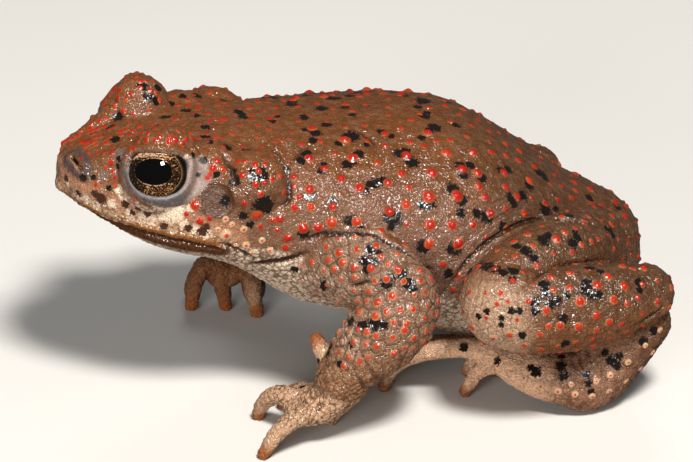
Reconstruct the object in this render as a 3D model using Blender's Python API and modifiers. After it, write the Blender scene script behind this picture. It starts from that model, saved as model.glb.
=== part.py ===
# Red-spotted toad, life size, sitting with its front raised and its head towards -X.
# Sizes below are in millimetres and become metres in mm(). +Z is up, the toad's left side is -Y.

import math
import random

import bmesh
import bpy
from mathutils import Matrix, Vector
from mathutils.bvhtree import BVHTree

MM = 0.001
GAP = 0.3  # between nodes that touch
LEFT, RIGHT = -1, 1
WELD = 0.004  # points this close become one

# Trunk from snout to vent: x, top, widest level, underside, half width, squareness
TRUNK = (
    (-25.9, 21.9, 21.1, 20.4, 1.5, 2.0),  # snout tip
    (-25.0, 22.9, 21.0, 19.2, 3.4, 2.1),  # nostrils
    (-23.0, 23.7, 20.2, 18.0, 5.5, 2.3),  # snout
    (-20.2, 24.4, 19.0, 16.1, 7.5, 2.5),  # front of the eyes
    (-17.4, 24.6, 18.5, 15.0, 8.9, 2.7),  # middle of the eyes
    (-14.0, 24.8, 18.2, 14.0, 9.8, 2.7),  # corners of the mouth
    (-10.5, 24.5, 17.8, 11.8, 10.2, 2.5),  # neck
    (-6.0, 24.0, 16.6, 8.4, 11.2, 2.4),  # shoulders
    (0.0, 23.75, 15.4, 6.2, 12.6, 2.25),  # ribs
    (6.5, 23.3, 14.0, 3.7, 13.2, 2.15),  # sacral hump
    (11.0, 22.2, 12.8, 1.6, 12.4, 2.1),  # flank
    (15.5, 19.3, 10.8, -0.2, 10.6, 2.1),  # waist
    (20.0, 15.6, 9.0, -0.4, 8.4, 2.1),  # pelvis
    (24.0, 13.25, 8.2, 1.6, 6.0, 2.1),  # urostyle
    (26.1, 11.7, 8.4, 4.2, 4.1, 2.1),  # rump
    (27.1, 10.2, 8.6, 6.6, 1.8, 2.0),  # vent
)
NECK, NECK_LEAN = (-7.5, 0, 18), 8.5  # where the head parts from the torso, and degrees off upright

EYE_CENTRE, EYE_RADIUS = {LEFT: (-18.35, 6.0, 22.8), RIGHT: (-17.75, 5.8, 22.7)}, 3.15
EYE_TURN = (-15, 26)  # where the eye looks: degrees forward of the side, and up
EYE_OPENING, EYE_TILT = (2.5, 2.0), 8  # half width and half height between the lids, outer end down
LID_RADIUS = 3.5
BROW_CENTRE, BROW_SIZE = (-17.7, 5.6, 23.5), (3.1, 3.4, 3.5)
TEMPLE_CENTRE, TEMPLE_SIZE = (-13.8, 5.4, 22.5), (3.0, 3.0, 2.5)
PAROTOID_CENTRE, PAROTOID_SIZE = {LEFT: (-10.4, 7.2, 21.3), RIGHT: (-10.7, 7.1, 21.05)}, (3.4, 3.2, 3.15)
NOSE_CENTRE, NOSE_SIZE = (-24.1, 2.4, 22.2), (1.0, 0.95, 0.95)
NOSTRIL_CENTRE, NOSTRIL_SIZE = (-24.65, 3.15, 22.6), (0.32, 0.65, 0.42)
CANTHUS = ((-23.8, 2.6, 22.6, 0.8, 0.7), (-22.2, 3.4, 23.3, 0.9, 0.8), (-20.4, 4.2, 24.0, 1.0, 1.0))
EAR_CENTRE, EAR_RADIUS, EAR_RIM = (-14.0, 9.0, 21.4), 1.5, 0.32
MOUTH = (
    (-25.6, 0.0, 19.8),
    (-25.1, 2.0, 19.5),
    (-23.9, 4.0, 19.0),
    (-22.4, 5.4, 18.5),
    (-20.8, 6.8, 18.2),
    (-19.3, 7.8, 17.9),
    (-17.9, 8.5, 17.6),
    (-16.1, 9.2, 17.3),
    (-14.2, 9.7, 16.8),
)
LIP_RADIUS, LIP_RISE, MOUTH_GAP = 0.6, 0.55, 0.2
WARTS = ((0.52, 0.42), (0.66, 0.52), (0.82, 0.6))  # radius and height of the three sizes of wart

# Limbs: x, distance out from the middle, z, half width, half height along each one
ARM = {
    LEFT: {
        "upper_arm": (
            (-4.6, 8.6, 14.8, 3.2, 4.0),
            (-1.5, 12.0, 14.4, 3.4, 3.9),
            (0.9, 14.5, 12.6, 3.1, 3.6),
        ),
        "forearm": (
            (1.2, 14.8, 12.0, 3.1, 3.4),
            (-0.4, 15.6, 10.4, 3.4, 3.4),
            (-2.9, 15.8, 8.0, 2.9, 2.8),
            (-4.5, 15.6, 6.2, 2.5, 2.3),
        ),
        "palm": (
            (-4.0, 15.4, 5.6, 2.4, 1.9),
            (-5.4, 14.8, 3.9, 2.6, 1.7),
            (-7.2, 14.4, 2.9, 2.4, 1.4),
            (-8.4, 14.2, 2.5, 2.1, 1.0),
        ),
        "fingers": (
            ((-7.0, 15.6, 3.0), (-9.2, 16.8, 3.2), (-11.0, 17.2, 2.0), (-12.0, 17.2, 0.4)),
            ((-7.4, 14.0, 2.9), (-9.2, 12.2, 3.2), (-10.3, 10.8, 2.0), (-10.7, 10.1, 0.35)),
            ((-6.4, 13.2, 2.8), (-7.2, 11.0, 2.6), (-7.8, 9.6, 1.6), (-8.1, 8.8, 0.3)),
            ((-4.6, 13.6, 4.8), (-5.0, 12.2, 6.0), (-5.3, 11.2, 6.8), (-5.5, 10.6, 7.4)),
        ),
        "pad": (-4.9, 12.6, 1.9),
    },
    RIGHT: {
        "upper_arm": (
            (-4.6, 8.6, 14.8, 3.2, 4.0),
            (-2.2, 12.0, 14.0, 3.4, 3.9),
            (0.6, 14.6, 11.6, 3.3, 3.6),
        ),
        "forearm": (
            (1.4, 14.9, 10.8, 3.3, 3.4),
            (-1.2, 15.2, 9.2, 3.4, 3.4),
            (-3.8, 14.8, 7.2, 2.9, 2.8),
            (-5.4, 14.2, 5.8, 2.5, 2.3),
        ),
        "palm": (
            (-5.0, 14.2, 5.2, 2.4, 1.9),
            (-6.4, 13.8, 3.9, 2.5, 1.7),
            (-8.0, 13.2, 3.1, 2.3, 1.4),
            (-8.8, 12.9, 2.7, 2.0, 1.0),
        ),
        "fingers": (
            ((-8.2, 14.4, 3.0), (-9.6, 14.8, 3.0), (-10.6, 14.8, 1.8), (-11.0, 14.6, 0.4)),
            ((-8.4, 13.2, 3.2), (-10.2, 12.8, 3.6), (-11.2, 12.2, 2.2), (-11.6, 12.0, 0.35)),
            ((-7.8, 12.4, 3.2), (-8.6, 11.9, 3.4), (-8.7, 11.5, 2.0), (-8.5, 11.3, 0.3)),
            ((-6.2, 12.6, 3.6), (-6.2, 10.9, 3.2), (-6.2, 9.8, 1.8), (-6.1, 9.2, 0.35)),
        ),
        "pad": (-5.6, 12.2, 1.9),
    },
}
PAD_SIZE = (1.1, 1.1, 2.1)
FINGER_RADII = (1.1, 0.58)
LEG = {
    LEFT: {
        "thigh": (
            (20.6, 6.4, 10.6, 3.6, 4.2),
            (17.0, 10.6, 12.0, 3.9, 4.4),
            (12.6, 13.6, 12.2, 3.8, 4.3),
            (9.4, 15.6, 12.0, 3.3, 3.6),
        ),
        "shank": (
            (9.4, 16.8, 11.8, 3.4, 3.6),
            (12.4, 17.4, 11.2, 3.8, 3.8),
            (18.0, 17.2, 10.9, 3.5, 3.6),
            (22.8, 16.0, 10.8, 2.5, 2.6),
        ),
        "tarsus": (
            (23.3, 15.3, 7.6, 2.0, 2.2),
            (21.2, 15.4, 5.4, 2.3, 2.4),
            (18.2, 15.6, 2.9, 2.4, 2.9),
            (15.8, 15.2, 2.9, 2.5, 2.4),
            (13.0, 13.8, 3.4, 2.4, 1.8),
            (11.6, 12.6, 3.9, 2.1, 1.4),
        ),
        "toes": (
            ((12.8, 13.2, 3.2), (11.0, 12.4, 3.6), (9.1, 11.6, 2.8), (8.0, 10.7, 0.4)),
            ((11.4, 12.4, 4.1), (8.2, 10.8, 4.7), (4.6, 9.2, 4.0), (2.2, 8.2, 2.4), (1.4, 7.8, 0.4)),
            ((11.6, 11.6, 3.8), (8.6, 8.8, 3.9), (6.0, 6.4, 3.2), (4.6, 4.8, 1.8), (4.2, 3.8, 0.35)),
            ((12.2, 11.2, 3.4), (10.6, 9.2, 2.9), (9.8, 7.8, 1.7), (9.4, 7.0, 0.35)),
            ((13.4, 11.2, 2.8), (12.6, 9.4, 2.2), (12.0, 8.2, 1.3), (11.7, 7.6, 0.35)),
        ),
    },
    RIGHT: {
        "thigh": (
            (20.6, 6.4, 9.0, 3.5, 4.0),
            (17.0, 10.2, 9.3, 3.8, 4.1),
            (12.6, 13.4, 9.6, 3.7, 3.9),
            (9.6, 15.2, 9.4, 3.2, 3.4),
        ),
        "shank": (
            (8.9, 16.4, 9.4, 3.4, 3.5),
            (12.4, 17.2, 8.7, 3.7, 3.7),
            (18.0, 17.0, 8.2, 3.4, 3.4),
            (22.4, 15.8, 8.2, 2.5, 2.5),
        ),
        "tarsus": (
            (23.4, 15.2, 5.9, 2.1, 2.2),
            (21.4, 15.6, 3.7, 2.4, 2.4),
            (18.6, 15.8, 2.2, 2.5, 2.5),
            (15.6, 15.6, 2.1, 2.5, 2.3),
            (12.8, 15.0, 2.4, 2.5, 1.8),
            (11.2, 14.6, 2.5, 2.2, 1.4),
        ),
        "toes": (
            ((11.6, 15.8, 2.4), (8.8, 17.0, 2.2), (6.8, 17.4, 1.4), (5.8, 17.5, 0.4)),
            ((11.0, 15.0, 2.6), (7.4, 15.0, 2.8), (4.0, 14.8, 2.2), (1.8, 14.6, 1.3), (0.8, 14.5, 0.4)),
            ((11.0, 14.0, 2.5), (8.0, 13.0, 2.4), (5.8, 12.4, 1.5), (4.6, 12.1, 0.35)),
            ((11.6, 13.4, 2.4), (9.4, 12.0, 2.1), (8.0, 11.2, 1.2), (7.2, 10.8, 0.35)),
            ((12.8, 13.2, 2.2), (11.6, 11.8, 1.8), (10.8, 11.0, 1.1), (10.3, 10.5, 0.35)),
        ),
    },
}
TOE_RADII = (1.15, 0.6)


def mm(x, y, z):
    return Vector((x, y, z)) * MM


def side_name(name, side):
    return f"{name}_{'left' if side == LEFT else 'right'}"


def to_side(point, side):
    x, y, z, *rest = point
    return (x, y * side, z, *rest)


# Shapes


def new_object(name, bm):
    bmesh.ops.recalc_face_normals(bm, faces=bm.faces)
    mesh = bpy.data.meshes.new(name)
    bm.to_mesh(mesh)
    bm.free()
    obj = bpy.data.objects.new(name, mesh)
    bpy.context.scene.collection.objects.link(obj)
    return obj


def between(rows, t):
    """The smooth curve through rows of numbers, at t in steps of one row."""
    last = len(rows) - 1
    i = min(int(t), last - 1)
    f = t - i
    a, b, c, d = (rows[min(max(k, 0), last)] for k in (i - 1, i, i + 1, i + 2))
    return [
        0.5 * (2 * q + (r - p) * f + (2 * p - 5 * q + 4 * r - s) * f**2 + (3 * q - p - 3 * r + s) * f**3)
        for p, q, r, s in zip(a, b, c, d)
    ]


def skin_rings(name, rings):
    """A closed surface over rings of points, with one point at each end."""
    bm = bmesh.new()
    rows = [[bm.verts.new(p) for p in ring] for ring in rings]
    count = len(rows[0])
    for row, after in zip(rows, rows[1:]):
        for k in range(count):
            n = (k + 1) % count
            bm.faces.new((row[k], row[n], after[n], after[k]))
    for row in (rows[0], rows[-1]):
        tip = bm.verts.new(sum((v.co for v in row), Vector()) / count)
        for k in range(count):
            bm.faces.new((row[k], row[(k + 1) % count], tip))
    return new_object(name, bm)


def trunk(name, steps=4, sides=36):
    rings = []
    for k in range((len(TRUNK) - 1) * steps + 1):
        x, top, level, under, half, power = between(TRUNK, k / steps)
        ring = []
        for s in range(sides):
            out, up = math.cos(math.tau * s / sides), math.sin(math.tau * s / sides)
            rise = top - level if up > 0 else level - under
            y = half * math.copysign(abs(out) ** (2 / power), out)
            ring.append(mm(x, y, level + rise * math.copysign(abs(up) ** (2 / power), up)))
        rings.append(ring)
    return skin_rings(name, rings)


def tube(name, rows, side=RIGHT, sides=12, steps=2, cap=3):
    """A limb through rows of x, y, z, half width and half height, with round ends."""
    path = [between([to_side(row, side) for row in rows], k / steps) for k in range((len(rows) - 1) * steps + 1)]
    points = [Vector(row[:3]) for row in path]
    rings = []

    def ring(centre, along, wide, high):
        across = along.cross(Vector((0, 0, 1))).normalized()
        up = across.cross(along).normalized()
        turns = [math.tau * s / sides for s in range(sides)]
        rings.append([(centre + across * wide * math.cos(a) + up * high * math.sin(a)) * MM for a in turns])

    last = len(path) - 1
    for k, (centre, (*_, wide, high)) in enumerate(zip(points, path)):
        along = (points[min(k + 1, last)] - points[max(k - 1, 0)]).normalized()
        reach = min(wide, high)
        angles = [math.radians(90 * c / cap) for c in range(1, cap)]
        if k == 0:
            for a in reversed(angles):
                ring(centre - along * reach * math.sin(a), along, wide * math.cos(a), high * math.cos(a))
        ring(centre, along, wide, high)
        if k == last:
            for a in angles:
                ring(centre + along * reach * math.sin(a), along, wide * math.cos(a), high * math.cos(a))
    return skin_rings(name, rings)


def digit(name, points, radii, side):
    """A finger or toe that tapers from its root to a blunt tip."""
    rows = []
    for k, point in enumerate(points):
        radius = radii[0] + (radii[1] - radii[0]) * (k / (len(points) - 1)) ** 0.8
        rows.append((*point, radius, radius * 0.9))
    return tube(name, rows, side, sides=10, steps=2, cap=3)


def placed(name, bm, matrix):
    bmesh.ops.transform(bm, matrix=matrix, verts=bm.verts)
    return new_object(name, bm)


def ball(name, centre, size, side=RIGHT, detail=3):
    bm = bmesh.new()
    bmesh.ops.create_icosphere(bm, subdivisions=detail, radius=1)
    return placed(name, bm, Matrix.Translation(mm(*to_side(centre, side))) @ Matrix.Diagonal((*mm(*size), 1)))


def block(name, centre, size, lean=0, reach=0):
    """A block turned about Y at its centre, then moved along its own X."""
    bm = bmesh.new()
    bmesh.ops.create_cube(bm, size=1)
    turn = Matrix.Rotation(math.radians(lean), 4, "Y") @ Matrix.Translation(mm(reach, 0, 0))
    return placed(name, bm, Matrix.Translation(mm(*centre)) @ turn @ Matrix.Diagonal((*mm(*size), 1)))


def facing(point, direction):
    """A frame at the point with its Z along the direction."""
    return Matrix.Translation(point) @ direction.to_track_quat("Z", "Y").to_matrix().to_4x4()


def hoop(name, point, direction, radius, thickness, sides=20, around=8):
    """A ring that lies round the direction."""
    bm = bmesh.new()
    rows = []
    for k in range(sides):
        turn = math.tau * k / sides
        out = Vector((math.cos(turn), math.sin(turn), 0))
        tilts = [math.tau * j / around for j in range(around)]
        rows.append(
            [bm.verts.new((out * (radius + thickness * math.cos(a)) + Vector((0, 0, thickness * math.sin(a)))) * MM) for a in tilts]
        )
    for row, after in zip(rows, rows[1:] + rows[:1]):
        for j in range(around):
            n = (j + 1) % around
            bm.faces.new((row[j], row[n], after[n], after[j]))
    return placed(name, bm, facing(point, direction))


# Joining and parting


def bake(obj):
    """Puts what the modifiers make into the mesh."""
    graph = bpy.context.evaluated_depsgraph_get()
    mesh = bpy.data.meshes.new_from_object(obj.evaluated_get(graph))
    obj.modifiers.clear()
    obj.data = mesh
    return obj


def remove(objects):
    for obj in objects:
        bpy.data.objects.remove(obj)


def copy_of(obj, name):
    copy = bpy.data.objects.new(name, obj.data.copy())
    bpy.context.scene.collection.objects.link(copy)
    return copy


def fuse(name, pieces, voxel, smooth=4):
    """One closed skin over pieces that overlap, softened where they meet."""
    bm = bmesh.new()
    for piece in pieces:
        bm.from_mesh(piece.data)
    remove(pieces)
    obj = new_object(name, bm)
    remesh = obj.modifiers.new("Fuse", "REMESH")
    remesh.mode = "VOXEL"
    remesh.voxel_size = voxel * MM
    soften = obj.modifiers.new("Soften", "SMOOTH")
    soften.factor = 0.5
    soften.iterations = smooth
    return bake(obj)


def thin_out(obj, triangles):
    obj.data.calc_loop_triangles()
    thin = obj.modifiers.new("Thin out", "DECIMATE")
    thin.ratio = min(1, triangles / len(obj.data.loop_triangles))
    thin.use_collapse_triangulate = True
    return bake(obj)


def boolean(obj, others, operation="DIFFERENCE", solver="MANIFOLD"):
    """One Boolean with a group of closed meshes, which are then removed."""
    group = bpy.data.collections.new("pieces")
    bpy.context.scene.collection.children.link(group)
    for other in others:
        group.objects.link(other)
    step = obj.modifiers.new("Boolean", "BOOLEAN")
    step.operation = operation
    step.operand_type = "COLLECTION"
    step.collection = group
    step.solver = solver
    bake(obj)
    bpy.data.collections.remove(group)
    remove(others)
    return keep_largest(obj)


def keep_largest(obj):
    """Drops loose scraps and the walls of sealed hollows."""
    bm = bmesh.new()
    bm.from_mesh(obj.data)
    bmesh.ops.triangulate(bm, faces=bm.faces)
    bmesh.ops.remove_doubles(bm, verts=bm.verts, dist=WELD * MM)
    seen, groups = set(), []
    for start in bm.verts:
        if start in seen:
            continue
        seen.add(start)
        group, waiting = [], [start]
        while waiting:
            vert = waiting.pop()
            group.append(vert)
            for edge in vert.link_edges:
                other = edge.other_vert(vert)
                if other not in seen:
                    seen.add(other)
                    waiting.append(other)
        groups.append(group)
    groups.sort(key=len)
    for group in groups[:-1]:
        bmesh.ops.delete(bm, geom=group, context="VERTS")
    bm.to_mesh(obj.data)
    bm.free()
    return obj


def swollen(obj, by=GAP):
    """A copy that reaches the gap further out, to cut what lies against the piece."""
    copy = copy_of(obj, obj.name + "_cutter")
    swell = copy.modifiers.new("Swell", "DISPLACE")
    swell.strength = by * MM
    swell.mid_level = 0
    return bake(copy)


def cut_clear(obj, *neighbours):
    """Cuts the neighbours, the gap included, out of the piece."""
    for neighbour in neighbours:
        boolean(obj, [swollen(neighbour)])
    return obj


# Head


def eye_axis(side):
    ahead, up = (math.radians(a) for a in EYE_TURN)
    return Vector((math.sin(ahead) * math.cos(up), math.cos(ahead) * math.cos(up) * side, math.sin(up)))


def eye_opening(side):
    """The wedge between the lids, from inside the eye outwards."""
    axis = eye_axis(side)
    up = (Vector((0, 0, 1)) - axis * axis.z).normalized()
    ahead = up.cross(axis).normalized() * side
    tilt = math.radians(EYE_TILT)
    long = ahead * math.cos(tilt) + up * math.sin(tilt)
    high = up * math.cos(tilt) - ahead * math.sin(tilt)
    wide, tall = EYE_OPENING
    centre = Vector(to_side(EYE_CENTRE[side], side))
    rings = []
    for reach, spread in ((0.5, 0.8), (2.4, 1.0), (4.2, 1.25), (7.0, 1.7)):
        middle = centre + axis * reach
        turns = [math.tau * k / 20 for k in range(20)]
        rings.append(
            [(middle + (long * wide * math.cos(a) + high * tall * math.sin(a)) * spread) * MM for a in turns]
        )
    return skin_rings("opening", rings)


def mouth_line(rise=0.0, out=0.0):
    """The line of the mouth from the right corner round the snout to the left one."""
    right = [(x, y + out, z + rise) for x, y, z in MOUTH]
    return [to_side(point, RIGHT) for point in reversed(right[1:])] + [right[0]] + [to_side(p, LEFT) for p in right[1:]]


def head_pieces():
    lips = [(*point, LIP_RADIUS, LIP_RADIUS) for point in mouth_line(LIP_RISE, -0.45)]
    pieces = [tube("lips", lips, sides=10, steps=2)]
    for side in (LEFT, RIGHT):
        ear = mm(*to_side(EAR_CENTRE, side))
        pieces += [
            ball("brow", BROW_CENTRE, BROW_SIZE, side),
            ball("temple", TEMPLE_CENTRE, TEMPLE_SIZE, side),
            ball("lids", EYE_CENTRE[side], (LID_RADIUS,) * 3, side),
            ball("parotoid", PAROTOID_CENTRE[side], PAROTOID_SIZE, side),
            ball("nose", NOSE_CENTRE, NOSE_SIZE, side),
            tube("canthus", CANTHUS, side, sides=10),
            hoop("ear", ear, Vector((-0.1, side, 0.25)), EAR_RADIUS, EAR_RIM),
        ]
    return pieces


def cut_face(head):
    """The openings of the eyes, the nostrils and the line of the mouth."""
    line = [(*point, MOUTH_GAP, MOUTH_GAP) for point in mouth_line(0, 0.1)]
    boolean(head, [tube("mouth", line, sides=6, steps=2, cap=2)])
    for side in (LEFT, RIGHT):
        boolean(head, [eye_opening(side)])
        boolean(head, [ball("nostril", NOSTRIL_CENTRE, NOSTRIL_SIZE, side, detail=2)])


# Warts


def wart(point, normal, radius, height):
    """A low dome with its root sunk in the skin."""
    bm = bmesh.new()
    bmesh.ops.create_uvsphere(bm, u_segments=6, v_segments=3, radius=1)
    size = Matrix.Diagonal((*mm(radius, radius, height), 1))
    return placed("wart", bm, facing(point - normal * 0.08 * MM, normal) @ size)


def scatter(obj, count, spacing, others, allowed):
    """Spots on the skin, apart from one another and clear of the other nodes."""
    obj.data.calc_loop_triangles()
    corners = [[obj.data.vertices[v].co for v in tri.vertices] for tri in obj.data.loop_triangles]
    areas = [tri.area for tri in obj.data.loop_triangles]
    near = [tree_of(other) for other in others]
    spots = []
    for _ in range(count * 40):
        if len(spots) == count:
            break
        a, b, c = random.choices(corners, areas)[0]
        u, v = sorted((random.random(), random.random()))
        point = a * u + b * (v - u) + c * (1 - v)
        normal = (b - a).cross(c - a).normalized()
        radius, height = random.choice(WARTS)
        room = (radius + GAP + 0.25) * MM
        if point.z < room + 0.5 * MM or not allowed(point / MM, normal):
            continue
        if any((point - spot[0]).length < spacing * MM for spot in spots):
            continue
        if any(tree.find_nearest(point, room)[0] for tree in near):
            continue
        spots.append((point, normal, radius, height))
    return spots


def tree_of(obj):
    mesh = obj.data
    return BVHTree.FromPolygons([v.co for v in mesh.vertices], [p.vertices for p in mesh.polygons])


def grow_warts(obj, count, spacing, others, allowed=lambda point, normal: True):
    spots = scatter(obj, count, spacing, others, allowed)
    boolean(obj, [wart(*spot) for spot in spots], "UNION")


def on_back(point, normal):
    return normal.z > -0.15 and point.z > 9 and point.x < 25.5


def on_head(point, normal):
    clear_of_mouth = point.z > 19.6 or point.x > -13
    eye = min((point - Vector(to_side(EYE_CENTRE[side], side)) - eye_axis(side) * 2.6).length for side in (LEFT, RIGHT))
    ear = min((point - Vector(to_side(EAR_CENTRE, side))).length for side in (LEFT, RIGHT))
    nose = min((point - Vector(to_side(NOSE_CENTRE, side))).length for side in (LEFT, RIGHT))
    return normal.z > -0.2 and clear_of_mouth and eye > 3.6 and ear > 2.2 and nose > 1.7 and point.x > -24.6


def on_limb(point, normal):
    return normal.z > -0.5 and point.z > 2.2 and (abs(point.y) > 12.5 or normal.z > 0.4)


# Nodes


def make_body():
    body = fuse("torso", [trunk("trunk"), *head_pieces()], 0.25)
    head = copy_of(body, "head")
    boolean(head, [block("behind", NECK, (60, 80, 80), NECK_LEAN, 30)])
    boolean(body, [block("before", NECK, (60, 80, 80), NECK_LEAN, GAP - 30)])
    thin_out(head, 3000)
    thin_out(body, 1100)
    cut_face(head)
    eyes = []
    for side in (LEFT, RIGHT):
        eye = ball(side_name("eye", side), EYE_CENTRE[side], (EYE_RADIUS,) * 3, side)
        cut_clear(head, eye)
        eyes.append(eye)
    thin_out(head, 2500)
    return body, head, eyes


def make_arm(side):
    sizes = ARM[side]
    upper = tube(side_name("upper_arm", side), sizes["upper_arm"], side)
    lower = tube(side_name("forearm", side), sizes["forearm"], side)
    pieces = [tube("palm", sizes["palm"], side), ball("pad", sizes["pad"], PAD_SIZE, side)]
    pieces += [digit("finger", points, FINGER_RADII, side) for points in sizes["fingers"]]
    hand = thin_out(fuse(side_name("hand", side), pieces, 0.25), 560)
    cut_clear(upper, lower)
    cut_clear(hand, lower)
    return upper, lower, hand


def make_leg(side):
    sizes = LEG[side]
    thigh = tube(side_name("thigh", side), sizes["thigh"], side)
    shank = tube(side_name("shank", side), sizes["shank"], side)
    pieces = [tube("tarsus", sizes["tarsus"], side)]
    pieces += [digit("toe", points, TOE_RADII, side) for points in sizes["toes"]]
    foot = thin_out(fuse(side_name("foot", side), pieces, 0.25), 680)
    cut_clear(thigh, shank)
    cut_clear(foot, shank, thigh)
    return thigh, shank, foot


def stand_flat(node):
    """Cuts what reaches under the floor to a flat."""
    if min(v.co.z for v in node.data.vertices) < 0:
        boolean(node, [block("floor", (0, 0, -20), (120, 120, 40))])


def centre_on_floor(nodes):
    """Puts the middle of the whole toad's footprint at the origin."""
    points = [v.co for node in nodes for v in node.data.vertices]
    low = Vector(min(p[k] for p in points) for k in range(3))
    high = Vector(max(p[k] for p in points) for k in range(3))
    shift = Matrix.Translation((-(low.x + high.x) / 2, -(low.y + high.y) / 2, -low.z))
    for node in nodes:
        node.data.transform(shift)


def paint(node, name, colour, roughness):
    material = bpy.data.materials.new(name)
    material.use_nodes = True
    shader = material.node_tree.nodes["Principled BSDF"]
    shader.inputs["Base Color"].default_value = (*colour, 1)
    shader.inputs["Roughness"].default_value = roughness
    node.data.materials.clear()
    node.data.materials.append(material)


def main():
    random.seed(5)
    remove(list(bpy.data.objects))
    torso, head, eyes = make_body()
    arms = [make_arm(side) for side in (LEFT, RIGHT)]
    legs = [make_leg(side) for side in (LEFT, RIGHT)]
    limbs = [node for limb in arms + legs for node in limb]
    for limb in limbs:
        cut_clear(torso, limb)
    for arm in arms:
        cut_clear(head, arm[0])
    nodes = [torso, head, *eyes, *limbs]
    for node in nodes:
        stand_flat(node)

    def others(node):
        return [other for other in nodes if other is not node]

    grow_warts(torso, 86, 2.7, others(torso), on_back)
    grow_warts(head, 38, 2.2, others(head), on_head)
    for (upper, lower, _), (thigh, shank, foot) in zip(arms, legs):
        for node, count in ((upper, 8), (lower, 11), (thigh, 9), (shank, 15), (foot, 4)):
            grow_warts(node, count, 2.2, others(node), on_limb)
    centre_on_floor(nodes)
    model = bpy.data.collections.new("red_spotted_toad")
    bpy.context.scene.collection.children.link(model)
    for node in nodes:
        bpy.context.scene.collection.objects.unlink(node)
        model.objects.link(node)
        if node in eyes:
            paint(node, node.name, (0.02, 0.015, 0.01), 0.1)
        else:
            paint(node, node.name, (0.2, 0.12, 0.08), 0.45)


main()
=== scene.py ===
# Red-spotted toad, life size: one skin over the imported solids, two eyes, a pale floor and soft light.
# Lengths are in millimetres in the toad's own frame (nose towards -X, its left side -Y), and the
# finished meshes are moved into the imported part's frame in metres.

import itertools
import math

import bmesh
import bpy
import numpy as np
from mathutils import Euler, Matrix, Vector
from mathutils.bvhtree import BVHTree
from mathutils.kdtree import KDTree


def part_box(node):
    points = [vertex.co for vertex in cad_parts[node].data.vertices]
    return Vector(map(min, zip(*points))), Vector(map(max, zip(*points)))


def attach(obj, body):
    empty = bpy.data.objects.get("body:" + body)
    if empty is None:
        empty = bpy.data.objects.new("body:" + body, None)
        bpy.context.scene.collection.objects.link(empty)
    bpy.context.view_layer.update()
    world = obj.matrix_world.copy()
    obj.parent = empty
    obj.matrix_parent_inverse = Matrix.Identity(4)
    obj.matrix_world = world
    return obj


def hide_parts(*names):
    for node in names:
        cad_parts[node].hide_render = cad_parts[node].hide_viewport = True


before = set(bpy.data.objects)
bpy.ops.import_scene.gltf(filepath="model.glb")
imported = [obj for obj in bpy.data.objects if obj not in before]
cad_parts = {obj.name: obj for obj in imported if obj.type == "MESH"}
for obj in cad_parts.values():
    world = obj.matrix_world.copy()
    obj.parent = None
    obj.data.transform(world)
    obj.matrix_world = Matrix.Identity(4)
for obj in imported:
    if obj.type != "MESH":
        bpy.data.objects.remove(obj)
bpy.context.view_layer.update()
left, right = -1, 1
sides = (left, right)

# Camera: the photograph's view
viewpoint = {
    "target": (0.0, 0.0, 12.2),
    "distance": 400.0,
    "azimuth": -15.0,
    "elevation": 26.0,
    "lens": 232.7,
    "sensor": 36.0,
    "frameSize": (693, 462),
}

# The toad's forms
trunkForm = {
    # x, top, widest level, underside, half width, squareness
    "stations": (
        (-25.9, 21.9, 21.1, 20.4, 1.5, 2.0),
        (-25.0, 22.9, 21.0, 19.2, 3.4, 2.1),
        (-23.0, 23.7, 20.2, 18.0, 5.5, 2.3),
        (-20.2, 24.4, 19.0, 16.1, 7.5, 2.5),
        (-17.4, 24.6, 18.5, 15.0, 8.9, 2.7),
        (-14.0, 24.8, 18.2, 14.0, 9.8, 2.7),
        (-10.5, 24.5, 17.8, 11.8, 10.2, 2.5),
        (-6.0, 24.0, 16.6, 8.4, 11.2, 2.4),
        (0.0, 23.75, 15.4, 6.2, 12.6, 2.25),
        (6.5, 23.3, 14.0, 3.7, 13.2, 2.15),
        (11.0, 22.2, 12.8, 1.6, 12.4, 2.1),
        (15.5, 19.3, 10.8, -0.2, 10.6, 2.1),
        (20.0, 15.6, 9.0, -0.4, 8.4, 2.1),
        (24.0, 13.25, 8.2, 1.6, 6.0, 2.1),
        (26.1, 11.7, 8.4, 4.2, 4.1, 2.1),
        (27.1, 10.2, 8.6, 6.6, 1.8, 2.0),
    ),
    "steps": 8,
    "round": 84,
}
headForm = {
    "brow": ((-17.7, 5.6, 23.5), (3.1, 3.4, 3.5)),
    "temple": ((-13.8, 5.4, 22.5), (3.0, 3.0, 2.5)),
    "parotoid": ({left: (-10.4, 7.2, 21.3), right: (-10.7, 7.1, 21.05)}, (3.4, 3.2, 3.15)),
    "nose": ((-24.1, 2.4, 22.2), (1.0, 0.95, 0.95)),
    "canthus": ((-23.8, 2.6, 22.6, 0.8, 0.7), (-22.2, 3.4, 23.3, 0.9, 0.8), (-20.4, 4.2, 24.0, 1.0, 1.0)),
    "lipRadius": 0.6,
    "lipRise": 0.55,
    "lipInset": 0.45,
}
eyeForm = {
    "centre": {left: (-18.35, 6.0, 22.8), right: (-17.75, 5.8, 22.7)},
    "radius": 3.15,
    "turn": (-15, 26),  # degrees forward of the side, and up
    "opening": (2.68, 1.9, 2.12),  # half width, then height above and below the middle
    "crescent": (3.75, 2.95, 0.8),  # lower lid: half width, height, shift of its middle to the rear
    "tilt": 5,
    "lowerLid": 3.46,
    "upperLid": 3.66,
}
mouthForm = {
    "line": (
        (-25.6, 0.0, 19.8),
        (-25.1, 2.0, 19.5),
        (-23.9, 4.0, 19.0),
        (-22.4, 5.4, 18.5),
        (-20.8, 6.8, 18.2),
        (-19.3, 7.8, 17.9),
        (-17.9, 8.5, 17.6),
        (-16.1, 9.2, 17.3),
        (-14.2, 9.7, 16.8),
    ),
    "rise": 0.18,  # of the cut above that line
    "depth": 0.34,
    "halfWidth": 0.16,
    "lipSwell": 0.12,
    "pits": (0.72, 1.15),  # rows of pits above the cut
}
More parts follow.
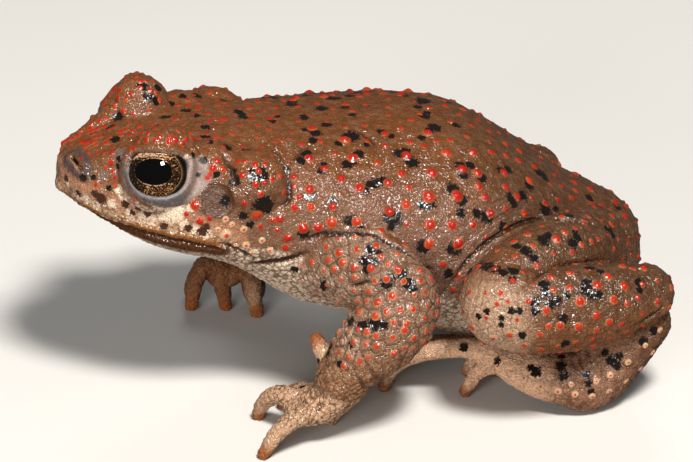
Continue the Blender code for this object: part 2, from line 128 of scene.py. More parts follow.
earForm = {"centre": (-14.0, 9.4, 21.4), "radius": 1.5, "rim": 0.14, "dish": 0.12}

# x, distance out from the middle, z, half width, half height along each limb
armForm = {
    left: {
        "upperArm": ((-4.6, 8.6, 14.8, 3.2, 4.0), (-1.5, 12.0, 14.4, 3.4, 3.9), (0.9, 14.5, 12.6, 3.1, 3.6)),
        "forearm": (
            (1.2, 14.8, 12.0, 3.1, 3.4),
            (-0.4, 15.6, 10.4, 3.4, 3.4),
            (-2.9, 15.8, 8.0, 2.9, 2.8),
            (-4.5, 15.6, 6.2, 2.5, 2.3),
        ),
        "palm": (
            (-4.0, 15.4, 5.6, 2.4, 1.9),
            (-5.4, 14.8, 3.9, 2.6, 1.7),
            (-7.2, 14.4, 2.9, 2.4, 1.4),
            (-8.4, 14.2, 2.5, 2.1, 1.0),
        ),
        "fingers": (
            ((-7.0, 15.6, 3.0), (-9.2, 16.8, 3.2), (-11.0, 17.2, 2.0), (-12.0, 17.2, 0.4)),
            ((-7.4, 14.0, 2.9), (-9.2, 12.2, 3.2), (-10.3, 10.8, 2.0), (-10.7, 10.1, 0.35)),
            ((-6.4, 13.2, 2.8), (-7.2, 11.0, 2.6), (-7.8, 9.6, 1.6), (-8.1, 8.8, 0.3)),
            ((-4.6, 13.6, 4.8), (-5.0, 12.2, 6.0), (-5.3, 11.2, 6.8), (-5.5, 10.6, 7.4)),
        ),
        "pad": (-4.9, 12.6, 1.9),
    },
    right: {
        "upperArm": ((-4.6, 8.6, 14.8, 3.2, 4.0), (-2.2, 12.0, 14.0, 3.4, 3.9), (0.6, 14.6, 11.6, 3.3, 3.6)),
        "forearm": (
            (1.4, 14.9, 10.8, 3.3, 3.4),
            (-1.2, 15.2, 9.2, 3.4, 3.4),
            (-3.8, 14.8, 7.2, 2.9, 2.8),
            (-5.4, 14.2, 5.8, 2.5, 2.3),
        ),
        "palm": (
            (-5.0, 14.2, 5.2, 2.4, 1.9),
            (-6.4, 13.8, 3.9, 2.5, 1.7),
            (-8.0, 13.2, 3.1, 2.3, 1.4),
            (-8.8, 12.9, 2.7, 2.0, 1.0),
        ),
        "fingers": (
            ((-8.2, 14.4, 3.0), (-9.6, 14.8, 3.0), (-10.6, 14.8, 1.8), (-11.0, 14.6, 0.4)),
            ((-8.4, 13.2, 3.2), (-10.2, 12.8, 3.6), (-11.2, 12.2, 2.2), (-11.6, 12.0, 0.35)),
            ((-7.8, 12.4, 3.2), (-8.6, 11.9, 3.4), (-8.7, 11.5, 2.0), (-8.5, 11.3, 0.3)),
            ((-6.2, 12.6, 3.6), (-6.2, 10.9, 3.2), (-6.2, 9.8, 1.8), (-6.1, 9.2, 0.35)),
        ),
        "pad": (-5.6, 12.2, 1.9),
    },
    "padSize": (1.1, 1.1, 2.1),
    "fingerRadii": (1.1, 0.58),
}
legForm = {
    left: {
        "thigh": (
            (20.6, 6.4, 10.6, 3.6, 4.2),
            (17.0, 10.6, 12.0, 3.9, 4.4),
            (12.6, 13.6, 12.2, 3.8, 4.3),
            (9.4, 15.6, 12.0, 3.3, 3.6),
        ),
        "shank": (
            (9.4, 16.8, 11.8, 3.4, 3.6),
            (12.4, 17.4, 11.2, 3.8, 3.8),
            (18.0, 17.2, 10.9, 3.5, 3.6),
            (22.8, 16.0, 10.8, 2.5, 2.6),
        ),
        "tarsus": (
            (23.3, 15.3, 7.6, 2.0, 2.2),
            (21.2, 15.4, 5.4, 2.3, 2.4),
            (18.2, 15.6, 2.9, 2.4, 2.9),
            (15.8, 15.2, 2.9, 2.5, 2.4),
            (13.0, 13.8, 3.4, 2.4, 1.8),
            (11.6, 12.6, 3.9, 2.1, 1.4),
        ),
        "toes": (
            ((12.8, 13.2, 3.2), (11.0, 12.4, 3.6), (9.1, 11.6, 2.8), (8.0, 10.7, 0.4)),
            ((11.4, 12.4, 4.1), (8.2, 10.8, 4.7), (4.6, 9.2, 4.0), (2.2, 8.2, 2.4), (1.4, 7.8, 0.4)),
            ((11.6, 11.6, 3.8), (8.6, 8.8, 3.9), (6.0, 6.4, 3.2), (4.6, 4.8, 1.8), (4.2, 3.8, 0.35)),
            ((12.2, 11.2, 3.4), (10.6, 9.2, 2.9), (9.8, 7.8, 1.7), (9.4, 7.0, 0.35)),
            ((13.4, 11.2, 2.8), (12.6, 9.4, 2.2), (12.0, 8.2, 1.3), (11.7, 7.6, 0.35)),
        ),
    },
    right: {
        "thigh": (
            (20.6, 6.4, 9.0, 3.5, 4.0),
            (17.0, 10.2, 9.3, 3.8, 4.1),
            (12.6, 13.4, 9.6, 3.7, 3.9),
            (9.6, 15.2, 9.4, 3.2, 3.4),
        ),
        "shank": (
            (8.9, 16.4, 9.4, 3.4, 3.5),
            (12.4, 17.2, 8.7, 3.7, 3.7),
            (18.0, 17.0, 8.2, 3.4, 3.4),
            (22.4, 15.8, 8.2, 2.5, 2.5),
        ),
        "tarsus": (
            (23.4, 15.2, 5.9, 2.1, 2.2),
            (21.4, 15.6, 3.7, 2.4, 2.4),
            (18.6, 15.8, 2.2, 2.5, 2.5),
            (15.6, 15.6, 2.1, 2.5, 2.3),
            (12.8, 15.0, 2.4, 2.5, 1.8),
            (11.2, 14.6, 2.5, 2.2, 1.4),
        ),
        "toes": (
            ((11.6, 15.8, 2.4), (8.8, 17.0, 2.2), (6.8, 17.4, 1.4), (5.8, 17.5, 0.4)),
            ((11.0, 15.0, 2.6), (7.4, 15.0, 2.8), (4.0, 14.8, 2.2), (1.8, 14.6, 1.3), (0.8, 14.5, 0.4)),
            ((11.0, 14.0, 2.5), (8.0, 13.0, 2.4), (5.8, 12.4, 1.5), (4.6, 12.1, 0.35)),
            ((11.6, 13.4, 2.4), (9.4, 12.0, 2.1), (8.0, 11.2, 1.2), (7.2, 10.8, 0.35)),
            ((12.8, 13.2, 2.2), (11.6, 11.8, 1.8), (10.8, 11.0, 1.1), (10.3, 10.5, 0.35)),
        ),
    },
    "toeRadii": (1.15, 0.6),
}

# Marks seen in the photograph, as pixel x, pixel y, then radius in millimetres
wartMarks = {
    "back": (
        (344.7, 140.3, 0.72), (352.4, 158.4, 0.7), (406.6, 155.8, 0.75), (427.3, 133.4, 0.65),
        (446.3, 153.2, 0.7), (431.6, 173.9, 0.72), (461.8, 169.5, 0.72), (428.2, 197.1, 0.8),
        (456.6, 196.2, 0.78), (429.9, 224.7, 0.7), (451.4, 225.5, 0.66), (429, 243.6, 0.62),
        (458.3, 243.6, 0.72), (442.8, 264.3, 0.5), (405.8, 204.9, 0.6), (389.4, 211.7, 0.62),
        (387.7, 183, 0.55), (401.5, 173.9, 0.55), (359.3, 188.1, 0.62), (340.9, 179, 0.6),
        (309.4, 189.4, 0.6), (309.4, 159.2, 0.62), (324, 168.7, 0.55), (311.9, 129.1, 0.62),
        (332.6, 206.6, 0.5), (331.7, 222.6, 0.66), (318, 227.2, 0.6), (303, 227.8, 0.68),
        (287.8, 237.6, 0.62), (285.2, 247, 0.45), (294.7, 207.4, 0.5), (311, 207, 0.5), (356.7, 222, 0.62),
        (380.8, 231.5, 0.5), (404.9, 246.2, 0.48), (385.1, 134.2, 0.55), (410, 142.3, 0.45),
        (385.1, 146.3, 0.45), (423.9, 146.3, 0.45), (400.6, 129.1, 0.45), (367.9, 141.1, 0.4),
        (320.5, 142, 0.4), (377.4, 163.5, 0.42), (335.2, 154, 0.36), (293.9, 176.8, 0.45),
        (293, 185.9, 0.4), (299, 197, 0.42), (408.4, 188.1, 0.42), (449.7, 140.3, 0.4),
        (435.9, 141.1, 0.4), (472.8, 153.5, 0.6), (491, 152.9, 0.5), (505.3, 156.3, 0.5),
        (518.1, 160.6, 0.5), (477, 173.6, 0.62), (503.4, 173.6, 0.6), (529.2, 180.8, 0.6),
        (478.5, 187, 0.55), (505.3, 187.9, 0.6), (484.3, 197.5, 0.58), (517.7, 196.9, 0.62),
        (490.4, 213.2, 0.6), (472.8, 225.2, 0.5), (507.2, 229.4, 0.55), (524.4, 213.7, 0.5),
        (545.5, 203.2, 0.5), (557, 200.3, 0.45), (571.3, 198.4, 0.5), (475, 253, 0.58),
        (457.5, 275.3, 0.5), (452.7, 289.3, 0.45), (554.1, 175.5, 0.45), (560.8, 187, 0.45),
        (614.4, 203.2, 0.6), (611.5, 216.6, 0.5), (623.9, 216.6, 0.55), (591.4, 203.2, 0.45),
        (601, 206, 0.5), (638, 256, 0.5), (590, 190, 0.5),
    ),
    "leg": (
        (527.3, 234.8, 0.5), (556, 239.6, 0.6), (533, 246.3, 0.42), (564.6, 232.9, 0.45),
        (514.9, 256.8, 0.36), (591.4, 241.5, 0.4), (598, 239, 0.36), (570, 273.6, 0.52),
        (551.2, 277.8, 0.5), (607.7, 276.9, 0.55), (553.1, 289.9, 0.42), (569.4, 288, 0.45),
        (596.8, 285.5, 0.68), (623.9, 286.4, 0.62), (622, 266.9, 0.55), (643, 269.2, 0.5),
        (632.5, 269.2, 0.45), (579.9, 301.7, 0.62), (546.4, 310.7, 0.5), (613.4, 299.8, 0.55),
        (626.8, 303.7, 0.42), (595.8, 315.1, 0.55), (578, 326.2, 0.55), (559.8, 325.3, 0.5),
        (548.4, 326.2, 0.4), (539.7, 334.3, 0.4), (608.6, 321.8, 0.5), (621, 323.7, 0.4),
        (596.2, 330.4, 0.42), (592.4, 339, 0.4), (637.3, 297.9, 0.42), (500.5, 293.1, 0.4),
        (486, 293, 0.3), (497, 304, 0.32), (508, 302, 0.3),
    ),
    "head": (
        (132.1, 146.9, 0.3), (146.5, 139.7, 0.34), (156, 141.3, 0.4), (160, 137.3, 0.34),
        (169.6, 138.1, 0.38), (168.8, 142.9, 0.4), (181.5, 143.7, 0.42), (191.1, 138.9, 0.4),
        (199.1, 138.9, 0.36), (112.2, 154.1, 0.34), (111.4, 162.8, 0.36), (113.8, 171.6, 0.34),
        (115.4, 178, 0.3), (105.8, 167.4, 0.28), (216.6, 161.2, 0.42), (212.6, 168.4, 0.44),
        (222.2, 169.2, 0.4), (207, 178, 0.36), (209.6, 174.5, 0.34), (195.1, 205.1, 0.58),
        (186.3, 213.9, 0.36), (199.9, 221, 0.5), (209.4, 217.8, 0.36), (256.5, 213.9, 0.66),
        (279.6, 218.6, 0.56), (272.4, 220.2, 0.36), (260.5, 226.6, 0.36), (277.2, 229.8, 0.34),
        (244.5, 202.7, 0.4), (243.7, 148.5, 0.38), (240.5, 150.5, 0.34), (238.1, 162, 0.34),
        (244.5, 162, 0.36), (254.9, 165.2, 0.42), (242.9, 175.6, 0.44), (258.5, 171.5, 0.36),
        (265.2, 165.2, 0.34), (272.4, 178.8, 0.36), (255.7, 184.4, 0.42), (264.4, 182.8, 0.36),
        (260.5, 193.9, 0.38), (279.6, 176.4, 0.32), (283.6, 192.3, 0.38), (96.1, 145.7, 0.3),
        (85.3, 143, 0.34), (104.2, 127.1, 0.38), (92.6, 135.2, 0.34), (150.5, 91.5, 0.4),
        (114.8, 106, 0.38), (123.5, 110.4, 0.34),
    ),
    "pale": (
        (225.4, 218.6, 0.36), (226.2, 234.6, 0.6), (243.7, 229, 0.4), (246.1, 245, 0.42), (262, 240, 0.36),
        (236, 246, 0.32), (252, 252, 0.34), (270, 250, 0.36), (218, 229, 0.3), (232, 224, 0.3),
        (524, 378, 0.36), (541, 386, 0.38), (558, 391, 0.4), (575, 394, 0.38), (592, 396, 0.38),
        (609, 391, 0.36), (626, 381, 0.36), (640, 368, 0.34), (652, 352, 0.34), (610, 375, 0.36),
        (628, 362, 0.36), (596, 381, 0.32), (550, 377, 0.3), (571, 384, 0.3), (645, 345, 0.3),
        (660, 330, 0.34),
    ),
    "arm": (
        (339.8, 253.1, 0.52), (326.9, 247.2, 0.36), (357.3, 249.6, 0.42), (328.9, 259.8, 0.46),
        (343.1, 262.8, 0.5), (354.4, 267.3, 0.52), (334.4, 269.1, 0.5), (371.3, 268.6, 0.5),
        (376.5, 246, 0.46), (381, 257, 0.42), (388, 264.5, 0.36), (396.8, 268.6, 0.42),
        (398.2, 271.1, 0.36), (398.2, 269.1, 0.5), (419.5, 270.9, 0.42), (392.5, 295.9, 0.56),
        (378.1, 303.1, 0.56), (360.4, 312.6, 0.48), (375.4, 316, 0.5), (386.6, 312.1, 0.44),
        (350.3, 314.6, 0.4), (406.3, 323.7, 0.4), (400, 310, 0.4), (412.6, 309.1, 0.42), (425, 292, 0.36),
        (367.4, 301.3, 0.36), (369, 291, 0.38), (341, 279, 0.42), (355, 277, 0.36), (358.5, 301.5, 0.36),
        (344, 366, 0.36), (360, 361, 0.4), (349, 357, 0.4), (377, 346, 0.45), (354, 342, 0.45),
        (333, 342, 0.4), (342, 340, 0.36), (367, 332, 0.46), (359, 330, 0.42), (376, 336, 0.4),
        (404, 330, 0.46), (345, 323, 0.4), (349, 331, 0.36), (366, 344, 0.38), (340, 352, 0.34),
        (368, 357, 0.34),
    ),
}
# smaller red warts of the head: pixel x and y
fineMarks = (
    (128, 74), (142, 73), (154, 75), (163, 80), (120, 91), (131, 94), (108, 90), (104, 102), (106, 107),
    (134, 114), (124, 111), (157, 93), (160, 100), (140, 88), (112, 86), (116, 83), (126, 79), (136, 77),
    (118, 98), (126, 100), (145, 81), (64, 144), (68, 141), (73, 139), (78, 136), (83, 135), (81, 131),
    (90, 129), (91, 135), (72, 145), (82, 143), (88, 143), (94, 131), (98, 130), (105, 127), (114, 128),
    (100, 122), (106, 119), (92, 124), (62, 150), (59, 156), (106, 140), (110, 138), (120, 132),
    (126, 130), (136, 132), (140, 127), (148, 134), (138, 143), (175, 140), (186, 140), (178, 131),
    (184, 132), (141, 138), (183, 125), (200, 108), (208, 114), (214, 118), (221, 122), (224, 104),
    (246, 104), (258, 103), (268, 103), (284, 101), (277, 114), (252, 115), (218, 89), (238, 93),
    (188, 100), (178, 88), (193, 115), (175, 120), (165, 113), (239, 126), (232, 134), (269, 129),
    (282, 141), (292, 132), (215, 140), (206, 134), (112, 148), (116, 186),
)
# bluish skin before the eye
loreMarks = (
    (122, 166, 0.7), (125, 176, 0.6), (121, 154, 0.6), (124, 186, 0.5), (117, 172, 0.5), (104, 176, 0.5),
)
# black blotches beside the warts: pixel x, pixel y, radius in millimetres
inkMarks = (
    (351, 136.5, 0.85), (339, 143.5, 0.45), (358.5, 154.5, 0.6), (347.5, 164.5, 0.6), (352.5, 161, 0.55),
    (399, 154, 0.6), (412, 162, 0.75), (405, 151, 0.5), (434.5, 128, 0.75), (429, 131, 0.5),
    (422, 138, 0.4), (459.5, 165, 0.55), (463, 174.5, 0.6), (428, 203.5, 0.75), (421, 205.5, 0.4),
    (452.5, 189.5, 0.75), (461.5, 200, 0.7), (423, 247, 0.7), (454.5, 248.5, 0.75), (394, 219.5, 0.8),
    (388, 218, 0.5), (391, 227, 0.4), (384, 181, 0.55), (376, 182.5, 0.6), (369.5, 184, 0.4),
    (365, 190.5, 0.5), (309.5, 195, 0.65), (304, 155, 0.45), (301, 161, 0.55), (308, 153, 0.45),
    (321, 171.5, 0.4), (324, 164.5, 0.4), (306, 129.5, 0.45), (315.5, 133, 0.6), (332.5, 204, 0.6),
    (303.5, 233, 0.6), (351, 221, 0.6), (360, 226.5, 0.4), (381, 132, 0.5), (391, 136.5, 0.4),
    (470, 165, 0.5), (481.5, 178, 0.55), (508.5, 169.5, 0.5), (500.5, 170.5, 0.5), (529, 184.5, 0.6),
    (511, 198.5, 0.6), (523.5, 195, 0.55), (514.5, 203.5, 0.5), (485, 216.5, 0.6), (490, 219.5, 0.45),
    (503, 226.5, 0.5), (546, 209.5, 0.8), (556, 209, 0.4), (617, 206, 0.6), (590, 198, 0.5),
    (597, 206, 0.6), (543, 175.5, 0.75), (537, 172, 0.5), (569, 216, 0.5), (476.5, 213.5, 0.5),
    (461, 213, 0.5), (469.5, 271, 0.5), (448.5, 273.5, 0.55), (285.5, 168, 0.6), (258.9, 174.8, 1.0),
    (256, 180.5, 0.7), (263.6, 205.1, 1.05), (268, 209, 0.5), (247.7, 149.3, 0.55), (235, 181, 0.6),
    (233, 171.5, 0.45), (224.6, 201.1, 0.55), (216.5, 174.5, 0.35), (243, 215.5, 0.45), (250, 224.5, 0.4),
    (110, 126.5, 0.5), (118.5, 117.5, 0.6), (142.5, 86, 0.6), (148, 97, 0.55), (158, 88, 0.45),
    (156, 100.5, 0.5), (182.5, 96, 0.4), (197, 95.5, 0.5), (165.5, 117.5, 0.55), (186, 110.5, 0.5),
    (205.5, 127.5, 0.5), (243.5, 116.5, 0.5), (172, 104, 0.4), (291, 101.5, 0.55), (322, 108.5, 0.6),
    (336, 97.5, 0.4), (243, 116.5, 0.55), (277, 116, 0.4), (304, 118, 0.45), (420, 102, 0.6),
    (418, 107, 0.5), (352, 115, 0.4), (448, 102, 0.4), (101, 198.5, 0.6), (95.5, 194.5, 0.45),
    (78.5, 193, 0.35), (83.5, 178.5, 0.4), (93, 177.5, 0.3), (125, 204, 0.4), (138.5, 208, 0.35),
    (147.5, 213, 0.4), (164.5, 226, 0.4), (188, 228, 0.4), (202, 231.5, 0.5), (206, 226.5, 0.4),
    (118.5, 167, 0.35), (119, 159, 0.3), (66.5, 178.5, 0.35), (109, 188, 0.3), (193, 155, 0.3),
    (203.5, 160, 0.4), (197.5, 175, 0.25), (132.5, 212.5, 0.3), (371, 250, 0.6), (379, 251, 0.4),
    (364.5, 261, 0.5), (373, 262.5, 0.5), (367, 270, 0.45), (386.5, 284, 0.6), (402, 274.5, 0.5),
    (391, 277.5, 0.4), (409, 284, 0.65), (413, 289.5, 0.45), (351, 321, 0.6), (362, 325.5, 0.6),
    (374, 323.5, 0.7), (383, 325.5, 0.5), (346, 317, 0.4), (325, 284, 0.5), (294.5, 269, 0.4),
    (323, 288, 0.35), (543, 240, 0.7), (548, 236, 0.5), (517, 246.5, 0.5), (525.5, 251, 0.6),
    (533, 258, 0.5), (536, 263, 0.4), (573.5, 243, 0.6), (577, 238, 0.5), (575, 232, 0.4), (612, 233, 0.6),
    (607, 229, 0.4), (487, 266, 0.7), (495, 269.5, 0.6), (503, 272.5, 0.55), (513, 271, 0.6),
    (481, 263, 0.4), (512, 280, 0.5), (544.5, 285, 0.6), (546.5, 291.5, 0.6), (587, 284, 0.6),
    (585.5, 290, 0.6), (592, 295, 0.5), (598, 293.5, 0.5), (589.5, 268, 0.5), (600, 271.5, 0.4),
    (550, 304, 0.55), (557, 301, 0.5), (537.5, 300.5, 0.45), (535.5, 311, 0.45), (534.5, 304, 0.4),
    (566.5, 296, 0.4), (563, 318, 0.5), (522.5, 335, 0.4), (565, 344, 0.5), (640, 283, 0.6),
    (640, 290, 0.4), (511.5, 311, 0.4), (519.5, 311, 0.35), (486.5, 311.5, 0.35), (479, 316, 0.35),
    (501.5, 318, 0.3), (501, 325, 0.3), (561, 366, 0.55), (564, 375, 0.55), (561.5, 357, 0.4),
    (587, 375, 0.4), (589, 383, 0.4), (612, 360, 0.6), (617, 366, 0.5), (620, 356, 0.4), (605, 352, 0.4),
    (536, 372, 0.55), (531, 368, 0.4), (591, 392, 0.35), (643, 341, 0.45), (654, 331, 0.45),
    (639, 329, 0.35), (463.5, 347, 0.45), (426, 344, 0.3), (497, 361, 0.45), (331, 346, 0.5),
    (328, 354, 0.4), (352, 344, 0.4), (318, 362, 0.35), (303, 388, 0.4), (340, 364, 0.35),
)
# cream patches of the lip and cheek
creamMarks = (
    (168, 212, 0.9), (176, 213, 0.8), (160, 210, 0.6), (152, 219, 0.45), (142, 217, 0.4), (130, 214, 0.4),
    (120, 190, 0.4), (112, 204, 0.4), (86, 199, 0.4), (77, 194, 0.35), (97, 206, 0.4), (124, 199, 0.35),
    (184, 224, 0.4), (196, 229, 0.4), (206, 233, 0.4), (68, 184, 0.25), (190, 208, 0.3), (137, 204, 0.3),
    (192, 160, 0.35), (198, 168, 0.4), (190, 176, 0.3), (202, 174, 0.3), (186, 157, 0.25),
)
# creases: points as pixels, then half width and depth in millimetres
foldMarks = {
    "parotoidRear": (
        (
            (260.3, 141.1), (272.3, 148.9), (282.7, 162.7), (288.7, 176.4), (290.4, 190.2), (288.7, 200.5),
            (280.9, 205.7), (272.3, 212.6),
        ),
        0.22,
        0.3,
    ),
    "parotoidFront": (
        (
            (217.2, 147.2), (224.1, 155.8), (230.1, 167.8), (235.3, 183.3), (241.3, 191.9),
        ),
        0.28,
        0.18,
    ),
    "shoulder": (((289.5, 166.1), (296.4, 155.8), (303.3, 148), (311.9, 143.4)), 0.15, 0.16),
    "armTop": (
        (
            (282.7, 241.9), (303.3, 241), (320.5, 235), (351.5, 232.4), (372.2, 234.1), (386, 240.2),
            (403.2, 249.6), (418.7, 260.8), (430.8, 272.9), (439.4, 286.6),
        ),
        0.26,
        0.35,
    ),
    "scratch": (((354.1, 127.4), (365.3, 135.1), (379.1, 147.2)), 0.14, 0.3),
    "elbow": (((342.9, 284.9), (355, 285.8), (365.3, 282.3), (377.4, 280.6)), 0.2, 0.2),
    "groin": (
        (
            (435.5, 307.5), (447, 288.4), (464.2, 265.4), (481.4, 248.2), (502.4, 232.9), (525.4, 221.4),
            (542.6, 218.5), (563.7, 219.5), (586.6, 223.3), (618, 232),
        ),
        0.24,
        0.34,
    ),
    "groinLow": (((466.1, 271.1), (479.5, 259.7), (494.8, 244.4), (504.4, 234.8)), 0.14, 0.14),
    "groinHigh": (
        (
            (456.5, 252), (471.8, 234.8), (494.8, 219.5), (513.9, 206.1), (529.2, 194.6), (546.4, 187),
        ),
        0.14,
        0.15,
    ),
    "groinMiddle": (
        (
            (468, 242.4), (487.1, 227.1), (512, 211.8), (536.9, 204.2), (563.7, 204.2), (582.8, 209.9),
        ),
        0.14,
        0.14,
    ),
    "waist": (((479.5, 204.2), (498.6, 200.3), (517.7, 192.7), (538.8, 183.1)), 0.12, 0.12),
    "waistLow": (((443.1, 253.9), (460.4, 246.3), (479.5, 232.9), (492, 226)), 0.12, 0.12),
    "kneeBack": (((513.9, 261.6), (525.4, 271.1), (529.2, 282.6)), 0.16, 0.18),
    "kneeTop": (
        (
            (527.3, 286.4), (533, 278.8), (542.6, 271.1), (559.8, 265.4), (586.6, 261.6), (617.2, 260.6),
            (638.3, 263.5),
        ),
        0.2,
        0.24,
    ),
    "heel": (((636, 325), (645, 320), (655.5, 313.2), (667, 303.7)), 0.18, 0.2),
    "tarsusA": (((573, 350), (574, 361), (577, 371)), 0.2, 0.09),
    "tarsusB": (((580.9, 345.8), (582, 360), (584.7, 374.4)), 0.2, 0.09),
    "tarsusC": (((590.4, 343), (591, 356), (594.3, 368.7)), 0.2, 0.09),
    "tarsusD": (((598, 340), (600, 350), (601, 360)), 0.2, 0.09),
    "lidCorner": (((186, 160), (196, 157), (206, 158)), 0.12, 0.16),
    "jawRear": (((209.4, 242.6), (222, 243), (238, 250), (252, 257), (268, 259)), 0.2, 0.2),
    "throat": (((228, 262), (250, 264), (275, 262), (300, 256), (322, 246)), 0.3, 0.25),
}
# how deep they are cut on each side, as a share
foldDepth = {left: 1.6, right: 1.1}
# fine wrinkles drawn between two of those creases, and how many
foldFans = (
    ("groin", "groinMiddle", 2),
    ("groinMiddle", "groinHigh", 2),
    ("groinHigh", "waist", 2),
    ("waist", "scratch", 1),
)
# share of its radius that each kind of marked wart is built with
wartScale = {"back": 0.8, "leg": 0.8, "head": 0.86, "pale": 0.8, "arm": 0.85}
# ends of each nostril's slit and of the painted highlight on its wet front edge, in pixels
nostrilMarks = {left: ((72, 157), (81, 168)), right: ((82, 168), (90, 178))}
nostrilHighlights = {left: ((71, 160), (77, 168)), right: ((81, 171), (86, 178))}
# small warts that fill the skin between those marks: least spacing, then radii in millimetres
wartFill = {
    "crown": {"spacing": 1.2, "radii": (0.16, 0.28)},
    "back": {"spacing": 1.65, "radii": (0.22, 0.4)},
    "flank": {"spacing": 1.5, "radii": (0.16, 0.3)},
    "arm": {"spacing": 1.0, "radii": (0.2, 0.36)},
    "leg": {"spacing": 1.45, "radii": (0.2, 0.38)},
}
skinDetail = {
    "voxel": 0.13,
    "bodyVoxel": 0.2,
    "bodyRounds": 12,
    "rounds": 7,
    "wartRise": 0.47,  # height as a share of the radius
    "lumpSize": 1.3,
    "lumpHeight": 0.07,
    "crinkleSize": 0.42,
    "crinkleHeight": 0.03,
    "pebbleSize": 0.48,
    "pebbleRise": 0.035,  # everywhere, and what each region adds to it
    "pebbleMore": {
        "leg": 0.035,
        "arm": 0.02,
        "belly": 0.09,
        "knee": 0.04,
        "foot": 0.045,
        "hand": 0.06,
        "wrist": 0.08,
    },
    "cellGroove": 0.11,
    "seed": 11,
}


# Geometry helpers


def newMesh(name, bm):
    bmesh.ops.recalc_face_normals(bm, faces=bm.faces)
    mesh = bpy.data.meshes.new(name)
    bm.to_mesh(mesh)
    bm.free()
    obj = bpy.data.objects.new(name, mesh)
    bpy.context.scene.collection.objects.link(obj)
    return obj


def between(rows, t):  # smooth curve through rows of numbers, t in steps of one row
    last = len(rows) - 1
    i = min(int(t), last - 1)
    f = t - i
    a, b, c, d = (rows[min(max(k, 0), last)] for k in (i - 1, i, i + 1, i + 2))
    return [
        0.5 * (2 * q + (r - p) * f + (2 * p - 5 * q + 4 * r - s) * f**2 + (3 * q - p - 3 * r + s) * f**3)
        for p, q, r, s in zip(a, b, c, d)
    ]


def toSide(point, side):
    x, y, *rest = point
    return (x, y * side, *rest)


def skinRings(name, rings):
    bm = bmesh.new()
    rows = [[bm.verts.new(p) for p in ring] for ring in rings]
    count = len(rows[0])
    for row, after in zip(rows, rows[1:]):
        for k in range(count):
            n = (k + 1) % count
            bm.faces.new((row[k], row[n], after[n], after[k]))
    for row in (rows[0], rows[-1]):
        tip = bm.verts.new(sum((v.co for v in row), Vector()) / count)
        for k in range(count):
            bm.faces.new((row[k], row[(k + 1) % count], tip))
    return newMesh(name, bm)


def trunkShape():
    stations, steps, around = trunkForm["stations"], trunkForm["steps"], trunkForm["round"]
    rings = []
    for k in range((len(stations) - 1) * steps + 1):
        x, top, level, under, half, power = between(stations, k / steps)
        ring = []
        for s in range(around):
            out, up = math.cos(math.tau * s / around), math.sin(math.tau * s / around)
            rise = top - level if up > 0 else level - under
            y = half * math.copysign(abs(out) ** (2 / power), out)
            ring.append((x, y, level + rise * math.copysign(abs(up) ** (2 / power), up)))
        rings.append(ring)
    return skinRings("trunk", rings)


def limbShape(name, rows, side=right, around=28, steps=5, cap=6):
    sided = [toSide(row, side) for row in rows]
    path = [between(sided, k / steps) for k in range((len(rows) - 1) * steps + 1)]
    points = [Vector(row[:3]) for row in path]
    rings = []

    def ring(centre, along, wide, high):
        across = along.cross(Vector((0, 0, 1))).normalized()
        up = across.cross(along).normalized()
        turns = [math.tau * s / around for s in range(around)]
        rings.append([centre + across * wide * math.cos(a) + up * high * math.sin(a) for a in turns])

    last = len(path) - 1
    for k, (centre, (*_, wide, high)) in enumerate(zip(points, path)):
        along = (points[min(k + 1, last)] - points[max(k - 1, 0)]).normalized()
        reach = min(wide, high)
        angles = [math.radians(90 * c / cap) for c in range(1, cap)]
        if k == 0:
            for a in reversed(angles):
                ring(centre - along * reach * math.sin(a), along, wide * math.cos(a), high * math.cos(a))
        ring(centre, along, wide, high)
        if k == last:
            for a in angles:
                ring(centre + along * reach * math.sin(a), along, wide * math.cos(a), high * math.cos(a))
    return skinRings(name, rings)


def digitShape(name, points, radii, side):
    rows = []
    for k, point in enumerate(points):
        radius = radii[0] + (radii[1] - radii[0]) * (k / (len(points) - 1)) ** 0.8
        rows.append((*point, radius, radius * 0.9))
    return limbShape(name, rows, side, around=20)


def ballShape(name, centre, size, side=right):
    bm = bmesh.new()
    bmesh.ops.create_icosphere(bm, subdivisions=5, radius=1)
    place = Matrix.Translation(toSide(centre, side)) @ Matrix.Diagonal((*size, 1))
    bmesh.ops.transform(bm, matrix=place, verts=bm.verts)
    return newMesh(name, bm)


def readMesh(mesh):
    points = np.empty(len(mesh.vertices) * 3)
    mesh.vertices.foreach_get("co", points)
    edges = np.empty(len(mesh.edges) * 2, np.int64)
    mesh.edges.foreach_get("vertices", edges)
    return points.reshape(-1, 3), edges.reshape(-1, 2)


# Averages each point with its neighbours.
def soften(values, edges, rounds, strength=0.5):
    flat = values.reshape(len(values), -1)
    count = np.bincount(edges.ravel(), minlength=len(flat))[:, None]
    for _ in range(rounds):
        total = np.empty_like(flat)
        for k in range(flat.shape[1]):
            total[:, k] = np.bincount(edges[:, 0], flat[edges[:, 1], k], len(flat))
            total[:, k] += np.bincount(edges[:, 1], flat[edges[:, 0], k], len(flat))
        flat = flat + strength * (total / count - flat)
    return flat.reshape(values.shape)


# One closed skin over pieces that overlap, softened without shrinking.
def fuse(name, pieces, voxel, rounds):
    bm = bmesh.new()
    for piece in pieces:
        bm.from_mesh(piece.data)
        bpy.data.objects.remove(piece)
    obj = newMesh(name, bm)
    remesh = obj.modifiers.new("Fuse", "REMESH")
    remesh.mode = "VOXEL"
    remesh.voxel_size = voxel
    mesh = bpy.data.meshes.new_from_object(obj.evaluated_get(bpy.context.evaluated_depsgraph_get()))
    obj.modifiers.clear()
    obj.data = mesh
    points, edges = readMesh(mesh)
    for _ in range(rounds):
        points = soften(points, edges, 1, 0.5)
        points = soften(points, edges, 1, -0.45)
    mesh.vertices.foreach_set("co", points.ravel())
    mesh.update()
    return obj


